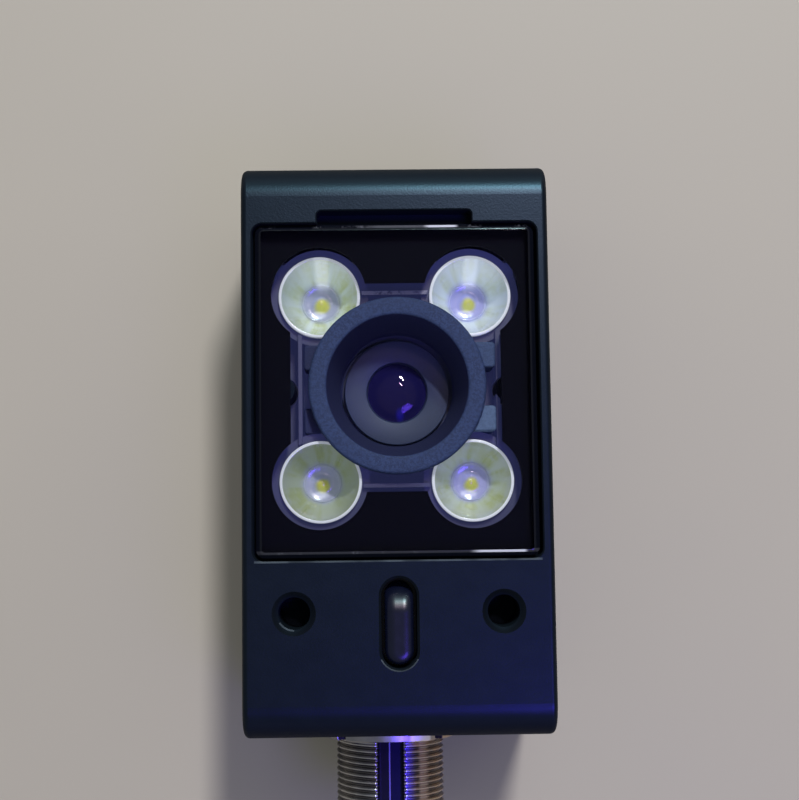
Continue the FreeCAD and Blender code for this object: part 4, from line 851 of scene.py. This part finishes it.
class CAMERA_OT_cup_seats(bpy.types.Operator):
    """Dark seat rings that close the cups round the light guides, in the carrier's finish with its painted
    glow
    """
    bl_idname = "vision_camera.cup_seats"
    bl_label = "Cup seats"

    def execute(self, context):
        bore = 4.38
        outside = 5.2
        thickness = 0.1
        drop = 0.79
        hood_clearance = 8.3
        seats = []
        for node in GUIDE_NODES:
            foot = span(node)[1].z - drop
            top = foot + thickness
            profile = [(bore, foot), (outside, foot), (outside, top), (bore, top)]
            seat = lathe(profile, middle(node), 96)
            for vert in seat.verts:
                away = Vector((vert.co.x / MM - LENS.x, vert.co.y / MM - LENS.y))
                if away.length < hood_clearance:
                    away = away.normalized() * hood_clearance
                    vert.co.x = (LENS.x + away.x) * MM
                    vert.co.y = (LENS.y + away.y) * MM
            seats.append(seat)
        # the rings fill the shaded gaps round the cups and carry the carrier's painted glow
        settle(to_mesh("cup_seat_rings", seats), "carrier_plastic")
        return {"FINISHED"}


class CAMERA_OT_lens(bpy.types.Operator):
    """Lens barrel with its flat front ring, and the domed front glass"""
    bl_idname = "vision_camera.lens"
    bl_label = "Lens"

    def execute(self, context):
        low, high = span("lens_barrel")
        glass_low, glass_high = span("front_lens")
        top = high.z
        seat_top = top - 0.6
        bore = 4.05
        wall = 6.0
        face = 5.75
        edge = 0.12
        view = 3.15
        profile = [(bore, low.z), (wall, low.z), (wall, top - 1.0), (face, top - 1.0), (face, top - edge)]
        profile += arc(face - edge, top - edge, edge, 0, 90, 4)
        profile += [(view + 0.35, top), (view + 0.22, top - 0.05), (view + 0.06, top - 0.35),
                    (view + 0.05, seat_top), (bore, seat_top)]
        settle(to_mesh("lens_tube", [lathe(profile, TUBE_SEAT, 128)]), "lens_black", "lens_barrel")
        rise = 0.86 * (glass_high.z - seat_top)
        ball = (view ** 2 + rise ** 2) / (2 * rise)
        start = math.degrees(math.acos(view / ball))
        glass_rim = 4.0
        profile = [(0, glass_low.z), (glass_rim, glass_low.z), (glass_rim, top - 0.62), (view, seat_top)]
        profile += arc(0, seat_top + rise - ball, ball, start, 90, 16)[1:]
        glass = lathe(profile, TUBE_SEAT, 96, closed=False)
        settle(to_mesh("front_glass", [glass]), "lens_glass", "front_lens")
        return {"FINISHED"}


class CAMERA_OT_status_light(bpy.types.Operator):
    """Smoky pill of the status light, whose top falls away towards the window"""
    bl_idname = "vision_camera.status_light"
    bl_label = "Status light"

    @staticmethod
    def bend(head, shoulder, top):
        """Cut rows across the upper end of the pill, and lower them by a parabola."""
        first_row = PIPE.y + 1.0
        row_gap = 0.2
        level_end = 1.1
        steepness = 0.19
        for row in range(9):
            bmesh.ops.bisect_plane(head, geom=head.verts[:] + head.edges[:] + head.faces[:],
                                   plane_co=(0, (first_row + row * row_gap) * MM, 0), plane_no=(0, 1, 0))
        for vert in head.verts:
            climb = max(0.0, vert.co.y / MM - PIPE.y - level_end)
            share = max(0.0, (vert.co.z / MM - shoulder) / (top - shoulder))
            vert.co.z -= steepness * climb ** 2 * share * MM

    def execute(self, context):
        low, high = span("light_pipe")
        width = high.x - low.x
        pill_width = 2.96
        inset = (width - pill_width) / 2
        shoulder = FRONT - 4.0
        flange_foot = shoulder - 1.0
        foot_radius = 1.2
        swell = 1.05
        levels = [(0.0, flange_foot), (0.0, shoulder), (inset, shoulder)]
        for out, up in arc(0, 0, swell, 0, 90, 8):
            levels.append((inset + swell - out, high.z - 0.6 * (swell - up)))
        levels += [(inset + step, high.z) for step in (1.12, 1.22, 1.32, 1.4, 1.46)]
        head = plate(PIPE, width, high.y - low.y, width / 2 - 0.001, levels, 12)
        self.bend(head, shoulder, high.z)
        profile = [(0, low.z), (foot_radius, low.z), (foot_radius, flange_foot), (0, flange_foot)]
        foot = lathe(profile, PIPE, 48, closed=False)
        settle(to_mesh("status_pill", [head, foot]), "pipe_smoky", "light_pipe")
        return {"FINISHED"}


class CAMERA_OT_connector(bpy.types.Operator):
    """Threaded connector shell: a turned blank whose thread and groove are cut by a rule"""
    bl_idname = "vision_camera.connector"
    bl_label = "Connector shell"

    @staticmethod
    def flange(angle):
        """Flange radius with two narrow notches beside the groove."""
        apart = min(abs(math.degrees(angle) - place) for place in (45, 135))
        return 6.6 if apart < 3.4 else 7.4

    def blank(self, look):
        """The shell before its thread is cut, its long side along Y."""
        end = SHELL_LOW.y
        mouth = 4.5
        bore = 5.0
        floor = end + 9.25
        chamfer = 0.5
        rows_per_pitch = 14
        profile = [(bore, SHELL_HIGH.y), (CREST, SHELL_HIGH.y), (CREST, HOUSING_END)]
        profile += [(self.flange, HOUSING_END), (self.flange, FLANGE_END + 0.1)]
        profile += [(lambda angle: self.flange(angle) - 0.1, FLANGE_END), (CREST - 0.3, FLANGE_END)]
        start = FLANGE_END - 0.15
        rows = int((FLANGE_END - end - 0.7) / look.pitch * rows_per_pitch)
        for index in range(rows + 1):
            profile.append((CREST, start + (end + chamfer - start) * index / rows))
        profile += [(CREST - chamfer, end), (mouth + 0.1, end), (mouth, end + 0.1), (mouth, floor),
                    (bore, floor)]
        shell = lathe(profile, (0, 0), look.turn)
        for vert in shell.verts:
            x, y, z = vert.co
            vert.co = (x + CONNECTOR.x * MM, z, CONNECTOR.z * MM + y)
        bmesh.ops.recalc_face_normals(shell, faces=shell.faces)
        return to_mesh("connector_shell_threaded", [shell])

    def execute(self, context):
        look = context.scene.camera_connector
        growth = Growth("thread_cut")
        pitch = growth.size("Pitch", look.pitch)
        depth = growth.size("Depth", look.depth)
        crest = growth.size("Crest radius", CREST)
        flat = growth.size("Groove floor height", CONNECTOR.z + GROOVE_FLOOR)
        half = growth.size("Groove half width", GROOVE_HALF)
        x, y, z = [axis / MM for axis in growth.split(growth.node("GeometryNodeInputPosition"))]
        across = x - CONNECTOR.x
        rise = z - CONNECTOR.z
        reach = distance(across, rise)
        angle = growth.node("ShaderNodeMath", {"operation": "ARCTAN2"}, {0: across, 1: rise})
        phase = y / pitch + angle / (2 * math.pi)
        tooth = growth.node("ShaderNodeMath", {"operation": "PINGPONG"}, {0: phase, 1: 0.5}) * 2.0
        valley = 1.0 - tooth.step(0.12, 0.88)
        thread_top = FLANGE_END - 0.1
        end = SHELL_LOW.y
        cut = (y < thread_top) * (y > end + 0.45) * (reach > crest - 0.06)
        fade = (thread_top - y).step(0.0, 0.5) * (y - end - 0.3).step(0.0, 0.5)
        shrink = 1.0 - cut * valley * depth * fade / crest
        new_x = across * shrink
        new_z = rise * shrink
        outside = (y < FLANGE_END + 0.05) * (reach > GROOVE_FLOOR + 0.1)
        inside_groove = outside * (new_x.absolute() < half + 0.02)
        lowered = new_z.least(flat - CONNECTOR.z)
        new_z = new_z + inside_groove * (new_z > 0.0) * (lowered - new_z)
        moved = growth.node("ShaderNodeCombineXYZ", None,
                            {0: (new_x + CONNECTOR.x) * MM, 1: y * MM, 2: (new_z + CONNECTOR.z) * MM})
        geometry = growth.node("GeometryNodeSetPosition", None,
                               {"Geometry": growth.geometry(), "Position": moved})
        mesh = growth.grow(geometry, self.blank(look), finish_of("nickel"))
        mesh.materials.clear()
        settle(mesh, "nickel", "connector_shell")
        return {"FINISHED"}


class CAMERA_OT_cover_screws(bpy.types.Operator):
    """Socket-head screws of the rear cover, set out from one screw"""
    bl_idname = "vision_camera.cover_screws"
    bl_label = "Cover screws"

    @staticmethod
    def hexagon(angle):
        """Radius of the key socket at an angle."""
        half_across_flats = 0.87
        return half_across_flats / math.cos((angle + math.pi / 6) % (math.pi / 3) - math.pi / 6)

    def execute(self, context):
        low, high = span("cover_screws")
        head = 2.05
        edge = 0.2
        shank = 1.25
        point = 1.0
        seat = low.z + 2.0
        socket = low.z + 0.9
        profile = [(0, socket), (self.hexagon, socket), (self.hexagon, low.z + 0.05),
                   (lambda angle: self.hexagon(angle) + 0.08, low.z), (head - edge, low.z),
                   (head, low.z + edge), (head, seat), (shank, seat), (shank, high.z - 0.3),
                   (point, high.z), (0, high.z)]
        one = to_mesh("cover_screw_set", [lathe(profile, (0, 0), 72, closed=False)])
        growth = Growth("screw_set")
        across = growth.size("Spacing X", high.x - low.x - 2 * head)
        along = growth.size("Spacing Y", high.y - low.y - 2 * head)
        grid = growth.node("GeometryNodeMeshGrid", None, {
            "Size X": across * MM, "Size Y": along * MM, "Vertices X": 2, "Vertices Y": 2})
        screws = growth.node("GeometryNodeInstanceOnPoints", None,
                             {"Points": grid, "Instance": growth.geometry()})
        mesh = growth.grow(screws, one, finish_of("dark_screw"))
        mesh.materials.clear()
        settle(mesh, "dark_screw", "cover_screws")
        return {"FINISHED"}


class CAMERA_OT_stage(bpy.types.Operator):
    """Plain pale floor, soft lights and the camera"""
    bl_idname = "vision_camera.stage"
    bl_label = "Stage"

    @staticmethod
    def lamp(name, direction, away, size, power, colour, narrow=1.0, roll=0.0):
        """An elliptical lamp that shines on the camera's front from a direction."""
        data = bpy.data.lights.new(name, "AREA")
        data.shape = "ELLIPSE"
        data.size = size
        data.size_y = size * narrow
        data.energy = power
        data.color = colour
        light = bpy.data.objects.new(name, data)
        bpy.context.scene.collection.objects.link(light)
        target = Vector((0, 0, FRONT * MM))
        light.location = target + Vector(direction).normalized() * away
        light.rotation_mode = "QUATERNION"
        aim = Vector(direction).to_track_quat("Z", "Y")
        light.rotation_quaternion = aim @ Quaternion((0, 0, 1), roll)
        return light

    @staticmethod
    def add_floor(look):
        """Plain floor just under the camera."""
        half_side = 3.0
        gap = 0.02
        shell = bmesh.new()
        bmesh.ops.create_grid(shell, x_segments=2, y_segments=2, size=half_side)
        mesh = bpy.data.meshes.new("floor")
        shell.to_mesh(mesh)
        shell.free()
        floor = bpy.data.objects.new("floor", mesh)
        bpy.context.scene.collection.objects.link(floor)
        floor.location.z = -gap * MM
        mesh.materials.append(plain("floor_paint", tuple(look.floor_colour), 0.7, grain=40, depth=0.0,
                                    spread=0.015))

    @staticmethod
    def add_room(look):
        """Even light from all sides."""
        world = bpy.data.worlds.new("room")
        bpy.context.scene.world = world
        world.use_nodes = True
        background = world.node_tree.nodes["Background"]
        background.inputs["Color"].default_value = (0.93, 0.96, 1.0, 1.0)
        background.inputs["Strength"].default_value = look.sky

    def add_lamps(self, look):
        """The small key light, and three lamps that only gloss shows."""
        power = look.key_power
        self.lamp("key", (0.17, 0.57, 0.87), 0.8, 0.14, power, (1, 0.97, 1), narrow=0.2, roll=-0.5)
        gloss = [
            self.lamp("key_twin", (0.14, 0.38, 0.95), 0.8, 0.11, power * 0.3, (1, 0.75, 1),
                      narrow=0.25, roll=-0.5),
            self.lamp("edge_sheen", (0.15, 0.66, 0.74), 0.8, 0.10, power * 1.1, (0.6, 0.95, 1),
                      narrow=0.5),
            self.lamp("cool_sheen", (0.34, -0.42, 0.84), 0.6, 0.24, 4.4, (0.13, 0.07, 1.0)),
        ]
        for light in gloss:
            light.visible_diffuse = False

    @staticmethod
    def add_view(look):
        """The scene's camera, set out from the point above the lens."""
        data = bpy.data.cameras.new("view")
        data.lens = look.focal
        data.sensor_width = 36.0
        data.clip_start = 0.01
        camera = bpy.data.objects.new("view", data)
        bpy.context.scene.collection.objects.link(camera)
        turn = Euler((0.090, -0.015, -0.013), "XYZ")
        back_off = turn.to_matrix() @ Vector((0.33, -1.592, 144.227))
        camera.rotation_euler = turn
        camera.location = (Vector((LENS.x, LENS.y, FRONT)) + back_off) * MM
        bpy.context.scene.camera = camera

    def execute(self, context):
        look = context.scene.camera_stage
        self.add_floor(look)
        self.add_room(look)
        self.add_lamps(look)
        self.add_view(look)
        context.scene.view_settings.view_transform = "Standard"
        return {"FINISHED"}


class CAMERA_PT_panel(bpy.types.Panel):
    """Lists the pieces and their settings"""
    bl_idname = "CAMERA_PT_vision_camera"
    bl_label = "Vision Camera"
    bl_space_type = "VIEW_3D"
    bl_region_type = "UI"
    bl_category = "Vision Camera"

    def draw(self, context):
        for group in ("camera_casing", "camera_optics", "camera_connector", "camera_stage"):
            column = self.layout.column(align=True)
            settings = getattr(context.scene, group)
            for name in settings.bl_rna.properties.keys():
                if name not in {"rna_type", "name"}:
                    column.prop(settings, name)
        for operator in OPERATORS:
            self.layout.operator(operator.bl_idname)


SETTINGS = {
    "camera_casing": CasingSettings,
    "camera_optics": OpticsSettings,
    "camera_connector": ConnectorSettings,
    "camera_stage": StageSettings,
}
OPERATORS = [
    CAMERA_OT_plain_nodes, CAMERA_OT_window, CAMERA_OT_hood, CAMERA_OT_light_guides,
    CAMERA_OT_cup_seats, CAMERA_OT_lens, CAMERA_OT_status_light, CAMERA_OT_connector,
    CAMERA_OT_cover_screws, CAMERA_OT_stage,
]


def register():
    for made in [*SETTINGS.values(), *OPERATORS, CAMERA_PT_panel]:
        bpy.utils.register_class(made)
    for name, group in SETTINGS.items():
        setattr(bpy.types.Scene, name, PointerProperty(type=group))


def unregister():
    for name in SETTINGS:
        delattr(bpy.types.Scene, name)
    for made in [CAMERA_PT_panel, *reversed(OPERATORS), *SETTINGS.values()]:
        bpy.utils.unregister_class(made)


def main():
    """Register the add-on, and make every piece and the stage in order."""
    register()
    for operator in OPERATORS:
        category, name = operator.bl_idname.split(".")
        getattr(getattr(bpy.ops, category), name)()


if __name__ == "__main__":
    main()
